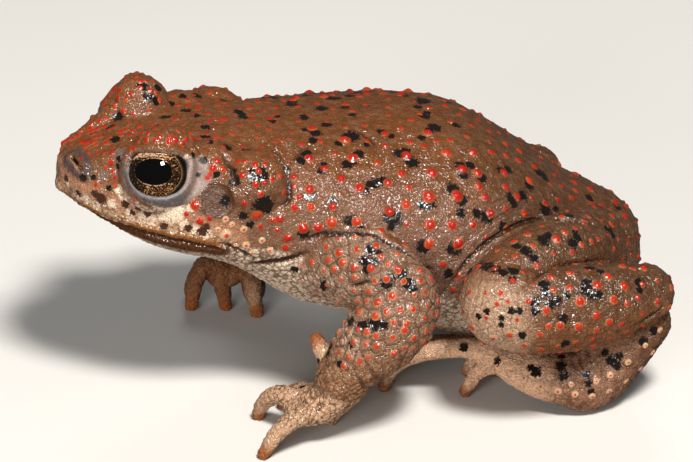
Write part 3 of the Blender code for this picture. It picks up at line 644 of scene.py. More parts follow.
# A whole number for each cell of a grid, unlike its neighbours'.
def scramble(cell):
    return cell[:, 0] * 73856093 ^ cell[:, 1] * 19349663 ^ cell[:, 2] * 83492791


# Smooth random field from -1 to 1.
def cloud(points, size, seed=0):
    place = points / size + seed * 17.37
    cell = np.floor(place).astype(np.int64)
    f = place - cell
    f = f * f * (3 - 2 * f)
    total = np.zeros(len(points))
    for corner in itertools.product((0, 1), repeat=3):
        key = scramble(cell + np.array(corner))
        key = ((key ^ (key >> 13)) * 1274126177) & 0xFFFFFFFF
        value = ((key >> 8) & 0xFFFF) / 32767.5 - 1
        for axis, far in enumerate(corner):
            value = value * (f[:, axis] if far else 1 - f[:, axis])
        total += value
    return total


# Cells close-packed like beads: how far each point lies from the nearest gap, 0 in the gap itself.
def pebbles(points, size):
    turn = np.array(Euler((0.7, 0.5, 0.9)).to_matrix())  # so that the cells' rows don't run along the body
    place = points @ turn / size
    cell = np.floor(place).astype(np.int64)
    nearest, second = np.full(len(points), 9.0), np.full(len(points), 9.0)
    for shift in itertools.product((-1, 0, 1), repeat=3):
        home = cell + np.array(shift)
        key = scramble(home)
        reach = np.zeros(len(points))
        for axis in range(3):
            key = ((key ^ (key >> 13)) * 1274126177 + axis) & 0xFFFFFFFF
            reach += (home[:, axis] + 0.05 + 0.9 * ((key >> 8) & 0xFFFF) / 65535 - place[:, axis]) ** 2
        second = np.minimum(second, np.maximum(nearest, reach))
        nearest = np.minimum(nearest, reach)
    return np.sqrt(second) - np.sqrt(nearest)


def step(low, high, values):
    t = np.clip((values - low) / (high - low), 0, 1)
    return t * t * (3 - 2 * t)


# View rays


def viewAxes():
    turn, rise = math.radians(viewpoint["azimuth"]), math.radians(viewpoint["elevation"])
    back = Vector((math.sin(turn) * math.cos(rise), -math.cos(turn) * math.cos(rise), math.sin(rise)))
    across = Vector((0, 0, 1)).cross(back).normalized()
    return across, back.cross(across), back


# Where the line of sight through a pixel meets the skin; on the right side it is mirrored.
def castMark(tree, pixel, side):
    across, up, back = viewAxes()
    wide, high = viewpoint["frameSize"]
    focal = viewpoint["lens"] / viewpoint["sensor"] * wide
    direction = across * (pixel[0] - wide / 2) / focal + up * (high / 2 - pixel[1]) / focal - back
    origin = Vector(viewpoint["target"]) + back * viewpoint["distance"]
    if side == right:
        origin.y, direction.y = -origin.y, -direction.y
    spot, normal, _, _ = tree.ray_cast(origin, direction.normalized())
    return spot, normal


# Skin: forms


def eyeFrame(side):
    ahead, up = (math.radians(a) for a in eyeForm["turn"])
    axis = Vector((math.sin(ahead) * math.cos(up), math.cos(ahead) * math.cos(up) * side, math.sin(up)))
    high = (Vector((0, 0, 1)) - axis * axis.z).normalized()
    rear = -high.cross(axis).normalized() * side
    tilt = math.radians(eyeForm["tilt"])
    swing, lean = math.cos(tilt), math.sin(tilt)
    return axis, rear * swing - high * lean, high * swing + rear * lean


def mouthLine(rise=0.0, out=0.0):
    half = [(x, y + out, z + rise) for x, y, z in mouthForm["line"]]
    near, far = ([toSide(point, side) for point in half[1:]] for side in (left, right))
    return far[::-1] + half[:1] + near


def buildBase():
    lipLine = mouthLine(headForm["lipRise"], -headForm["lipInset"])
    lips = [(*point, headForm["lipRadius"], headForm["lipRadius"]) for point in lipLine]
    pieces = [trunkShape(), limbShape("lips", lips, around=20)]
    for side in sides:
        for name in ("brow", "temple", "nose"):
            pieces.append(ballShape(name, *headForm[name], side))
        parotoidCentre, parotoidSize = headForm["parotoid"]
        pieces.append(ballShape("parotoid", parotoidCentre[side], parotoidSize, side))
        pieces.append(ballShape("lids", eyeForm["centre"][side], (eyeForm["lowerLid"],) * 3, side))
        pieces.append(limbShape("canthus", headForm["canthus"], side))
    body = fuse("body", pieces, skinDetail["bodyVoxel"], skinDetail["bodyRounds"])
    pieces = [body]
    for side in sides:
        arm, leg = armForm[side], legForm[side]
        pieces += [limbShape(name, arm[name], side) for name in ("upperArm", "forearm", "palm")]
        pieces.append(ballShape("pad", arm["pad"], armForm["padSize"], side))
        pieces += [digitShape("finger", points, armForm["fingerRadii"], side) for points in arm["fingers"]]
        pieces += [limbShape(name, leg[name], side) for name in ("thigh", "shank", "tarsus")]
        pieces += [digitShape("toe", points, legForm["toeRadii"], side) for points in leg["toes"]]
    return fuse("toadSkin", pieces, skinDetail["voxel"], skinDetail["rounds"])


# Pulls the skin onto the eyeballs as lids, and in behind them where the eye looks out.
def sculptLids(points, fields):
    for name in ("lid", "crescent", "lidRear"):
        fields[name] = np.full(len(points), 9.0)
    wide, above, below = eyeForm["opening"]
    lidWide, lidTall, lidRear = eyeForm["crescent"]
    lower = eyeForm["lowerLid"]
    for side in sides:
        axis, rear, high = (np.array(v) for v in eyeFrame(side))
        away = points - np.array(toSide(eyeForm["centre"][side], side))
        reach = np.linalg.norm(away, axis=1)
        close = np.flatnonzero((reach < 6.5) & (away @ axis > 0.05))
        d, r = away[close], reach[close]
        across, up = (d @ rear) / r * lower, (d @ high) / r * lower
        power = np.where(up > 0, 3.8, 2.1)
        tall = np.where(up > 0, above, below)
        ring = (np.abs(across / wide) ** power + np.abs(up / tall) ** power) ** (1 / power)
        outside = (ring - 1) * tall
        crescent = np.hypot((d @ rear - lidRear) / lidWide, (d @ high) / lidTall)
        crescent = (crescent - 1) * lidTall
        crescent = np.maximum(crescent, (d @ high - 0.55 * above) - 0.25 * (d @ rear))
        lidRadius = lower + (eyeForm["upperLid"] - lower) * step(0.35, 1.0, up)
        target = 2.6 + (lidRadius - 2.6) * step(-0.14, 0.16, outside)
        hold = (1 - step(0.35, 0.9, outside)) * step(0.22, 0.42, d @ axis / r)
        fresh = r * (1 - hold) + target * hold
        fresh = fresh - 0.22 * np.exp(-((crescent / 0.17) ** 2)) * step(0.0, -0.6, up)
        fresh = fresh - 0.16 * np.exp(-(((outside - 0.62) / 0.16) ** 2)) * step(0.4, 1.0, up)
        points[close] += d / r[:, None] * (fresh - r)[:, None]
        fields["lidRear"][close] = step(0.9, 3.0, d @ rear + 0.5 * (d @ high))
        fields["lid"][close] = np.minimum(fields["lid"][close], outside)
        crescent = np.maximum(crescent, -outside - 0.1)
        fields["crescent"][close] = np.minimum(fields["crescent"][close], crescent)
    return points


# The skin's points with a search tree, and the heights and colour fields that get stamped on it.
class SkinTools:
    def __init__(self, obj):
        self.points, self.edges = readMesh(obj.data)
        self.normals = np.empty(len(self.points) * 3)
        obj.data.vertices.foreach_get("normal", self.normals)
        self.normals = self.normals.reshape(-1, 3)
        self.tree = KDTree(len(self.points))
        for k, point in enumerate(self.points):
            self.tree.insert(point, k)
        self.tree.balance()
        faces = [tuple(face.vertices) for face in obj.data.polygons]
        self.surface = BVHTree.FromPolygons(self.points.tolist(), faces)
        self.height = np.zeros(len(self.points))
        self.fields = {}

    def around(self, spot, reach, normal=None):
        hits = self.tree.find_range(spot, reach)
        index = np.array([hit[1] for hit in hits], np.int64)
        away = np.array([hit[2] for hit in hits])
        if normal is not None and len(index):
            facing = self.normals[index] @ np.array(normal) > 0.15
            index, away = index[facing], away[facing]
        return index, away

    def blank(self, *names):  # distance fields, in which 9 stands for far away
        for name in names:
            self.fields[name] = np.full(len(self.points), 9.0)

    def nearer(self, name, index, away):
        self.fields[name][index] = np.minimum(self.fields[name][index], away)


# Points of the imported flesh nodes, in the toad's own frame, each with its region.
def readCadNodes():
    regions = {"torso": 0, "head": 1, "upper_arm": 2, "forearm": 2, "hand": 3}
    regions.update({"thigh": 4, "shank": 4, "foot": 5})
    eye = sum(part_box("eye_left"), Vector()) / 2 * 1000
    shift = eye - Vector(toSide(eyeForm["centre"][left], left))
    tree = KDTree(sum(len(node.data.vertices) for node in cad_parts.values()))
    labels = []
    for name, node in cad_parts.items():
        kind = name.removesuffix("_left").removesuffix("_right")
        if kind in regions:
            for vertex in node.data.vertices:
                tree.insert(vertex.co * 1000 - shift, len(labels))
                labels.append(regions[kind])
    tree.balance()
    return tree, labels, shift


def nearestOf(points, spots, size=(1, 1, 1)):
    away = [np.linalg.norm((points - np.array(spot)) / np.array(size), axis=1) for spot in spots]
    return np.minimum.reduce(away)


def markRegions(skin, tree, labels):
    nearest = np.array([labels[tree.find(point)[1]] for point in skin.points])
    f = skin.fields
    for number, name in enumerate(("torso", "head", "arm", "hand", "leg", "foot")):
        f[name] = soften((nearest == number).astype(float), skin.edges, 8)
    x, y, z = skin.points.T
    under = -skin.normals[:, 2]
    low = 0.6 * step(-3, -12, x) * step(17.4, 15.4, z)
    low += 0.45 * step(10, 7, z) * step(-2, 3, x) * step(14, 10, x)
    chest = step(0.1, 0.55, under + low) * step(17.8, 16.2, z)
    inner = step(-1, -5, x) * step(17, 14, z) * step(8, 10.5, z) * f["arm"]
    f["throat"] = f["head"] * step(0.0, 0.5, under) * step(-9, -14, x)
    f["belly"] = np.minimum(chest * (f["torso"] + f["head"]) + 0.5 * inner + f["throat"], 1)
    f["crown"] = f["head"] * step(0.2, 0.7, skin.normals[:, 2])
    f["rear"] = step(5, 16, x) * (f["torso"] + f["leg"])
    f["toe"] = step(15, 12.5, x) * f["foot"]
    f["heel"] = step(19, 23.5, x) * f["foot"]
    f["shadedFarHand"] = step(8, 11, y) * f["hand"]
    f["wrist"] = f["arm"] * step(12, 6, z)
    knees, tips, glands = [], [], []
    for side in sides:
        kneeX, kneeY, kneeZ, *_ = legForm[side]["shank"][0]
        knees.append(toSide((kneeX - 1.2, kneeY + 1.6, kneeZ - 0.6), side))
        tips += [toSide(digit[-1], side) for digit in armForm[side]["fingers"] + legForm[side]["toes"]]
        glands.append(toSide(headForm["parotoid"][0][side], side))
    f["knee"] = step(5.0, 1.8, nearestOf(skin.points, knees)) * f["leg"]
    f["tip"] = nearestOf(skin.points, tips)
    f["parotoid"] = step(1.2, 1.0, nearestOf(skin.points, glands, headForm["parotoid"][1]))


# Skin: warts, blotches and folds


# Each mark of the photographed side, and its like on the other side a little out of place.
def castAll(skin, marks, scale=1.0):
    rng = np.random.default_rng(skinDetail["seed"])
    found = []
    for mark in marks:
        for side in sides:
            jitter = rng.normal(0, 0 if side == left else 4.0, 2)
            pixel = (mark[0] + jitter[0], mark[1] + jitter[1])
            spot, normal = castMark(skin.surface, pixel, side)
            if spot is not None:
                size = mark[2] * (1 if side == left else rng.uniform(0.85, 1.15))
                found.append((spot, normal, size * scale))
    return found


# Seeded small warts in the room that the marks leave.
def fillWarts(skin, taken):
    rng = np.random.default_rng(skinDetail["seed"] + 1)
    grid = {}

    def cellOf(spot):
        return tuple((np.array(spot) // 2.0).astype(int))

    for spot, _, size in taken:
        grid.setdefault(cellOf(spot), []).append((np.array(spot), size))
    f = skin.fields
    x, _, z = skin.points.T
    bare = (f["lid"] < 0.7) | (f["crescent"] < 0.25) | (f["belly"] > 0.6) | (z < 1.5)
    bare |= (f["wrist"] > 0.4) | (f["hand"] > 0.4) | (f["foot"] > 0.5)
    bare |= (f["lip"] < 2.7) | (f["jaw"] < 3.0) | (f["ear"] < 1.9) | (f["nostril"] < 1.5)
    crown = (f["crown"] > 0.5) | ((f["head"] > 0.5) & ((x < -19) | (z > 22)))
    onTop = skin.normals[:, 2] > 0.45
    masks = [bare, crown, f["arm"] > 0.5, f["leg"] > 0.5, onTop]
    kinds = np.select(masks, [0, 1, 2, 3, 4], 5)
    names = {1: "crown", 2: "arm", 3: "leg", 4: "back", 5: "flank"}
    spots = []
    for k in rng.permutation(len(skin.points))[:60000]:
        if kinds[k] == 0:
            continue
        recipe = wartFill[names[kinds[k]]]
        spot = skin.points[k]
        home = cellOf(spot)
        size = rng.uniform(*recipe["radii"])
        clear = not any(
            np.linalg.norm(other - spot) < recipe["spacing"] + max(0, otherSize - 0.35)
            for dx, dy, dz in itertools.product((-1, 0, 1), repeat=3)
            for other, otherSize in grid.get((home[0] + dx, home[1] + dy, home[2] + dz), ())
        )
        if clear:
            grid.setdefault(home, []).append((spot, size))
            spots.append((Vector(spot), Vector(skin.normals[k]), size))
    return spots


def stampWarts(skin):
    fields, count = skin.fields, len(skin.points)
    skin.blank("wart")
    fields["wartTone"] = np.zeros(count)
    fields["wartPale"] = np.zeros(count)
    marked = []
    for name, marks in wartMarks.items():
        marked += [(*found, name) for found in castAll(skin, marks, wartScale[name])]
    sizes = np.random.default_rng(skinDetail["seed"] + 3).uniform(0.2, 0.34, len(fineMarks))
    small = castAll(skin, [(*mark, size) for mark, size in zip(fineMarks, sizes)])
    marked += [(*found, "head") for found in small]
    filled = fillWarts(skin, [wart[:3] for wart in marked])
    rng = np.random.default_rng(skinDetail["seed"] + 2)
    heights = np.zeros(count)
    for spot, normal, size, *kind in marked + filled:
        index, away = skin.around(spot, size * 2.6, normal)
        if not len(index):
            continue
        near = away / size
        bead = np.maximum(0, 1 - near**2) ** 1.4 + 0.22 * np.exp(-((near / 1.25) ** 2))
        heights[index] = np.maximum(heights[index], bead * size * skinDetail["wartRise"])
        closer = near < fields["wart"][index]
        fields["wart"][index[closer]] = near[closer]
        fields["wartTone"][index[closer]] = rng.random()
        fields["wartPale"][index[closer]] = 1.0 if kind and kind[0] == "pale" else 0.0
    skin.height += heights
    centres = KDTree(len(marked) + len(filled))
    for k, wart in enumerate(marked + filled):
        centres.insert(wart[0], k)
    centres.balance()
    pairs = np.array([[hit[2] for hit in centres.find_n(point, 2)] for point in skin.points])
    first, second = pairs.T
    fields["cell"] = np.minimum(second - first, np.where(first > 1.6, 9.0, second))
    groove = np.exp(-((fields["cell"] / 0.16) ** 2))
    skin.height -= skinDetail["cellGroove"] * groove * np.minimum(fields["arm"] + 0.35 * fields["leg"], 1)
    print(f"  {len(marked)} marked warts and {len(filled)} small ones")


def stampPatches(skin):
    for name, marks in (("ink", inkMarks), ("cream", creamMarks), ("lore", loreMarks)):
        skin.blank(name)
        for spot, normal, size in castAll(skin, marks):
            index, away = skin.around(spot, size * 2.4, normal)
            skin.nearer(name, index, away / size)


# Lines that lie between two creases.
def fanLines(first, second, count):
    ends = [foldMarks[name][0] for name in (first, second)]
    for n in range(1, count + 1):
        share = n / (count + 1)
        line = []
        for k in range(7):
            a, b = (between(pixels, k / 6 * (len(pixels) - 1)) for pixels in ends)
            line.append([p + (q - p) * share for p, q in zip(a, b)])
        yield line, 0.1, 0.1


def stampFolds(skin):
    depth = np.zeros(len(skin.points))
    folds = [(*mark, (left,) if name == "scratch" else sides) for name, mark in foldMarks.items()]
    for fan in foldFans:
        folds += [(*mark, sides) for mark in fanLines(*fan)]
    for pixels, halfWidth, fall, marked in folds:
        for side in marked:
            steps = 14 * (len(pixels) - 1)
            for k in range(steps + 1):
                spot, _ = castMark(skin.surface, between(pixels, k / 14), side)
                if spot is None:
                    continue
                taper = min(1, 3 * k / steps, 3 * (steps - k) / steps)
                index, away = skin.around(spot, halfWidth * 2.6)
                carved = taper * np.exp(-((away / halfWidth) ** 2))
                depth[index] = np.maximum(depth[index], carved * fall * foldDepth[side])
    skin.height -= depth
    # how deep each crease is cut, which the material darkens as painted shade
    skin.fields["fold"] = np.clip(depth / 0.3, 0, 1)


# The skin close to a short line between two pixels.
def alongLine(skin, ends, side, reach):
    start, end = (castMark(skin.surface, pixel, side)[0] for pixel in ends)
    for t in np.linspace(0, 1, 12):
        yield skin.around(start.lerp(end, t), reach)


# Mouth, nostrils and eardrums.
def stampFace(skin):
    fields, count = skin.fields, len(skin.points)
    skin.blank("pit", "ear", "nostril", "nosePatch", "nostrilHighlight")
    line = mouthLine(mouthForm["rise"])
    steps = 16
    low, rise = np.full(count, 9.0), np.zeros(count)
    for k in range((len(line) - 1) * steps + 1):
        guess = Vector(between(line, k / steps))
        spot = skin.surface.find_nearest(guess)[0]
        index, away = skin.around(spot, 3.2)
        closer = away < low[index]
        low[index[closer]] = away[closer]
        rise[index[closer]] = skin.points[index[closer], 2] - spot.z
        if k % 5 == 0:
            for lift in mouthForm["pits"]:
                pit = skin.surface.find_nearest(guess + Vector((0, 0, lift)))[0]
                index, away = skin.around(pit, 0.5)
                skin.nearer("pit", index, away / 0.13)
    fields["lip"] = np.where(rise > 0, low, 9.0)
    fields["jaw"] = np.where(rise <= 0, low, 9.0)
    fields["mouth"] = np.exp(-((low / mouthForm["halfWidth"]) ** 2))
    swell = np.exp(-(((low - 0.55) / 0.38) ** 2))
    skin.height += mouthForm["lipSwell"] * swell - mouthForm["depth"] * fields["mouth"]
    for side in sides:
        spot, normal, _, _ = skin.surface.find_nearest(Vector(toSide(earForm["centre"], side)))
        index, away = skin.around(spot, 3.0, normal)
        fields["ear"][index] = away
        edge = earForm["rim"] * np.exp(-(((away - earForm["radius"]) / 0.24) ** 2))
        skin.height[index] += edge - earForm["dish"] * step(earForm["radius"], 0.6, away)
        for index, away in alongLine(skin, nostrilMarks[side], side, 2.6):
            skin.nearer("nostril", index, away)
            skin.nearer("nosePatch", index, away if side == left else away * 2.2)
        for index, away in alongLine(skin, nostrilHighlights[side], side, 0.6):
            skin.nearer("nostrilHighlight", index, away)
    gap = fields["nostril"]
    skin.height += 0.16 * np.exp(-(((gap - 0.5) / 0.3) ** 2)) - 0.35 * np.exp(-((gap / 0.12) ** 2))


def buildSkin():
    obj = buildBase()
    print("  base skin", len(obj.data.vertices), "points")
    fields = {}
    points = sculptLids(readMesh(obj.data)[0], fields)
    obj.data.vertices.foreach_set("co", points.ravel())
    obj.data.update()
    skin = SkinTools(obj)
    skin.fields.update(fields)
    tree, labels, shift = readCadNodes()
    markRegions(skin, tree, labels)
    stampFace(skin)
    stampWarts(skin)
    stampPatches(skin)
    stampFolds(skin)
    f, detail = skin.fields, skinDetail
    smooth = np.maximum(step(0.5, 0.2, f["lid"]), step(0.15, -0.1, f["crescent"]))
    lumps = cloud(skin.points, detail["lumpSize"], 1) + 0.6 * cloud(skin.points, detail["lumpSize"] * 0.45, 2)
    crinkles = cloud(skin.points, detail["crinkleSize"], 3)
    f["pebble"] = pebbles(skin.points, detail["pebbleSize"])
    rise = detail["pebbleRise"] + sum(more * f[name] for name, more in detail["pebbleMore"].items())
    dome = 1 - (1 - np.clip(f["pebble"] / 0.65, 0, 1)) ** 2
    relief = lumps * detail["lumpHeight"] + crinkles * detail["crinkleHeight"] + rise * dome
    skin.height += relief * (1 - smooth)
    moved = skin.points + skin.normals * (skin.height * (1 - smooth * 0.9))[:, None]
    moved[:, 2] = np.maximum(moved[:, 2], 0)
    moved = (moved + np.array(shift)) / 1000
    obj.data.vertices.foreach_set("co", moved.ravel())
    for name, values in f.items():
        layer = obj.data.attributes.new(name, "FLOAT", "POINT")
        layer.data.foreach_set("value", np.minimum(values, 9).astype(np.float32))
    obj.data.polygons.foreach_set("use_smooth", [True] * len(obj.data.polygons))
    obj.data.update()
    return obj, shift


# Eyes


# Eyeball with its pole at the pupil; fields hold where each point lies round the gaze, in millimetres.
def buildEye(side, shift):
    bm = bmesh.new()
    bmesh.ops.create_uvsphere(bm, u_segments=120, v_segments=90, radius=1)
    axis, rear, high = eyeFrame(side)
    points = [v.co.copy() for v in bm.verts]
    centre = Vector(toSide(eyeForm["centre"][side], side)) + shift
    radius = eyeForm["radius"] - 0.03
    for vertex, p in zip(bm.verts, points):
        bulge = 1 + 0.02 * max(0, p.z) ** 3
        vertex.co = (centre + (rear * p.x + high * p.y + axis * p.z) * radius * bulge) / 1000
    obj = newMesh("eye_left_ball" if side == left else "eye_right_ball", bm)
    for name, values in (
        ("gazeAcross", [math.atan2(p.x, max(p.z, 0.05)) * radius for p in points]),
        ("gazeUp", [math.atan2(p.y, max(p.z, 0.05)) * radius for p in points]),
    ):
        layer = obj.data.attributes.new(name, "FLOAT", "POINT")
        layer.data.foreach_set("value", values)
    obj.data.polygons.foreach_set("use_smooth", [True] * len(obj.data.polygons))
    return obj


# Materials


def link(tree, value, socket):
    if isinstance(value, bpy.types.NodeSocket):
        tree.links.new(value, socket)
    else:
        socket.default_value = value


def calc(tree, operation, *values):
    node = tree.nodes.new("ShaderNodeMath")
    node.operation = operation
    for value, socket in zip(values, node.inputs):
        link(tree, value, socket)
    return node.outputs[0]


# 0 at low, 1 at high, smooth between.
def ease(tree, value, low, high):
    node = tree.nodes.new("ShaderNodeMapRange")
    node.interpolation_type = "SMOOTHSTEP"
    flip = low > high
    link(tree, value, node.inputs["Value"])
    node.inputs["From Min"].default_value = min(low, high)
    node.inputs["From Max"].default_value = max(low, high)
    node.inputs["To Min"].default_value = 1.0 if flip else 0.0
    node.inputs["To Max"].default_value = 0.0 if flip else 1.0
    return node.outputs["Result"]


def blendColour(tree, share, first, second):
    node = tree.nodes.new("ShaderNodeMix")
    node.data_type = "RGBA"
    link(tree, share, node.inputs[0])
    for value, socket in ((first, node.inputs[6]), (second, node.inputs[7])):
        link(tree, value if isinstance(value, bpy.types.NodeSocket) else (*value, 1), socket)
    return node.outputs[2]


def field(tree, name):
    node = tree.nodes.new("ShaderNodeAttribute")
    node.attribute_name = name
    return node.outputs["Fac"]


def inMillimetres(tree):
    place = tree.nodes.new("ShaderNodeTexCoord")
    scale = tree.nodes.new("ShaderNodeVectorMath")
    scale.operation = "SCALE"
    tree.links.new(place.outputs["Object"], scale.inputs[0])
    scale.inputs["Scale"].default_value = 1000
    return scale.outputs[0]


def noiseAt(tree, place, size, detail=3.0, rough=0.55):
    node = tree.nodes.new("ShaderNodeTexNoise")
    link(tree, place, node.inputs["Vector"])
    node.inputs["Scale"].default_value = 1 / size
    node.inputs["Detail"].default_value = detail
    node.inputs["Roughness"].default_value = rough
    return node.outputs["Fac"]


def newGroup(name, inputs, outputs):
    tree = bpy.data.node_groups.new(name, "ShaderNodeTree")
    for label, kind, value in inputs:
        socket = tree.interface.new_socket(label, in_out="INPUT", socket_type=kind)
        if value is not None:
            socket.default_value = value
    for label, kind in outputs:
        tree.interface.new_socket(label, in_out="OUTPUT", socket_type=kind)
    return tree, tree.nodes.new("NodeGroupInput"), tree.nodes.new("NodeGroupOutput")


# Close-packed round grains: a height that domes up on each one, and a mask of the gap between them for
# painted shade.
def granuleGroup():
    tree, start, end = newGroup(
        "granules",
        [("Place", "NodeSocketVector", None), ("Spacing", "NodeSocketFloat", 0.4)],
        [("Height", "NodeSocketFloat"), ("Gap", "NodeSocketFloat")],
    )
    cells = tree.nodes.new("ShaderNodeTexVoronoi")
    cells.feature = "DISTANCE_TO_EDGE"
    link(tree, start.outputs["Place"], cells.inputs["Vector"])
    link(tree, calc(tree, "DIVIDE", 1.0, start.outputs["Spacing"]), cells.inputs["Scale"])
    tree.links.new(ease(tree, cells.outputs["Distance"], 0.0, 0.42), end.inputs["Height"])
    tree.links.new(ease(tree, cells.outputs["Distance"], 0.14, 0.0), end.inputs["Gap"])
    return tree


# A patch round a distance field, with a ragged edge.
def patchGroup():
    tree, start, end = newGroup(
        "patch",
        [
            ("Place", "NodeSocketVector", None),
            ("Distance", "NodeSocketFloat", 1.0),
            ("Reach", "NodeSocketFloat", 1.0),
            ("Softness", "NodeSocketFloat", 0.1),
            ("Ragged", "NodeSocketFloat", 0.3),
            ("Grain", "NodeSocketFloat", 0.4),
        ],
        [("Mask", "NodeSocketFloat")],
    )
    noise = tree.nodes.new("ShaderNodeTexNoise")
    link(tree, start.outputs["Place"], noise.inputs["Vector"])
    link(tree, calc(tree, "DIVIDE", 1.0, start.outputs["Grain"]), noise.inputs["Scale"])
    noise.inputs["Detail"].default_value = 4
    noise.inputs["Roughness"].default_value = 0.62
    wobble = calc(tree, "SUBTRACT", noise.outputs["Fac"], 0.5)
    wobble = calc(tree, "MULTIPLY", calc(tree, "MULTIPLY", wobble, start.outputs["Ragged"]), 4.0)
    reached = calc(tree, "ADD", start.outputs["Distance"], wobble)
    inside = calc(tree, "SUBTRACT", start.outputs["Reach"], reached)
    share = calc(tree, "ADD", calc(tree, "DIVIDE", inside, start.outputs["Softness"]), 0.5)
    clamp = tree.nodes.new("ShaderNodeClamp")
    link(tree, share, clamp.inputs["Value"])
    tree.links.new(clamp.outputs[0], end.inputs["Mask"])
    return tree


def usePatch(tree, group, place, distance, reach, softness, ragged, grain=0.4):
    node = tree.nodes.new("ShaderNodeGroup")
    node.node_tree = group
    link(tree, place, node.inputs["Place"])
    link(tree, distance, node.inputs["Distance"])
    for name, value in (("Reach", reach), ("Softness", softness), ("Ragged", ragged), ("Grain", grain)):
        link(tree, value, node.inputs[name])
    return node.outputs["Mask"]


def useGranules(tree, group, place, spacing):
    node = tree.nodes.new("ShaderNodeGroup")
    node.node_tree = group
    link(tree, place, node.inputs["Place"])
    node.inputs["Spacing"].default_value = spacing
    return node.outputs["Height"], node.outputs["Gap"]


skinColours = {
    "back": (0.128, 0.044, 0.012),
    "backWarm": (0.150, 0.048, 0.011),
    "flank": (0.158, 0.078, 0.049),
    "crown": (0.158, 0.053, 0.014),
    "headSide": (0.145, 0.070, 0.038),
    # far hand: partly its own brown, partly painted shade
    "shadedFarHand": (0.190, 0.070, 0.027),
    "rear": (0.087, 0.037, 0.015),
    "arm": (0.215, 0.118, 0.073),
    "wrist": (0.260, 0.125, 0.060),
    "wristGapShade": (0.110, 0.048, 0.020),
    "leg": (0.155, 0.056, 0.019),
    "knee": (0.400, 0.250, 0.160),
    "hand": (0.470, 0.290, 0.180),
    # toe: partly its own pale colour, partly painted light
    "toe": (0.640, 0.380, 0.240),
    "heel": (0.100, 0.040, 0.017),
    "foot": (0.235, 0.118, 0.070),
    "tip": (0.260, 0.070, 0.013),
    "belly": (0.520, 0.400, 0.300),
    "bellyGapShade": (0.170, 0.105, 0.070),
    "cheek": (0.330, 0.155, 0.088),
    "lip": (0.360, 0.215, 0.125),
    "cream": (0.640, 0.490, 0.360),
    "lipEdge": (0.200, 0.072, 0.014),
    # throat: partly its own brown, partly painted shade
    "throat": (0.060, 0.020, 0.006),
    "lid": (0.092, 0.082, 0.084),
    "lidRear": (0.240, 0.165, 0.135),
    "lore": (0.150, 0.100, 0.082),
    "lidPale": (0.260, 0.205, 0.180),
    "nose": (0.085, 0.058, 0.052),
    "ear": (0.072, 0.024, 0.007),
    "parotoid": (0.105, 0.040, 0.017),
    "halo": (0.290, 0.070, 0.020),
    "limbHalo": (0.350, 0.160, 0.080),
    "wart": (0.300, 0.011, 0.006),
    "wartOrange": (0.350, 0.026, 0.008),
    "paleWart": (0.430, 0.270, 0.160),
    # ink: the black blotches, also painted shade in the nostrils and at the rims of the eyes
    "ink": (0.009, 0.006, 0.005),
    "lipInk": (0.040, 0.016, 0.009),
    # fold: painted shade in creases, gaps and openings, also the skin's dark specks and the eardrum's outline
    "fold": (0.035, 0.015, 0.008),
}
# size and height of each kind of fine relief in millimetres, and the gloss
skinFinish = {
    "granuleSize": 0.26,
    "granules": 0.05,
    "wrinkleSize": 0.3,
    "wrinkles": 0.09,
    "furrowSize": 0.7,
    "furrows": 0.04,
    "pavementSize": 0.5,
    "pavement": 0.05,
    "roughness": (0.09, 0.18),
    "ior": 1.42,
}


def newMaterial(name):
    material = bpy.data.materials.new(name)
    material.use_nodes = True
    tree = material.node_tree
    return material, tree, tree.nodes["Principled BSDF"]


# Short forms for the nodes of one material, and coats of colour laid one over another.
class PaintTools:
    def __init__(self, tree, patch, colours):
        self.tree, self.patch, self.colours = tree, patch, colours
        self.place = inMillimetres(tree)
        self.fields = {}
        self.colour = None

    def field(self, name):
        if name not in self.fields:
            self.fields[name] = field(self.tree, name)
        return self.fields[name]

    def times(self, value, *others):
        for other in others:
            value = calc(self.tree, "MULTIPLY", value, other)
        return value

    def plus(self, first, second):
        return calc(self.tree, "ADD", first, second)

    def less(self, first, second):
        return calc(self.tree, "SUBTRACT", first, second)

    def most(self, first, second):
        return calc(self.tree, "MAXIMUM", first, second)

    def size(self, value):
        return calc(self.tree, "ABSOLUTE", value)

    def ease(self, value, low, high):
        return ease(self.tree, value, low, high)

    def noise(self, size, detail=3.0, rough=0.55):
        return noiseAt(self.tree, self.place, size, detail, rough)

    def ragged(self, distance, reach, softness, wobble, grain=0.4):
        return usePatch(self.tree, self.patch, self.place, distance, reach, softness, wobble, grain)

    def mix(self, share, first, second):
        pair = (self.colours[c] if isinstance(c, str) else c for c in (first, second))
        return blendColour(self.tree, share, *pair)

    def coat(self, share, paint):
        self.colour = self.mix(share, self.colour, paint)


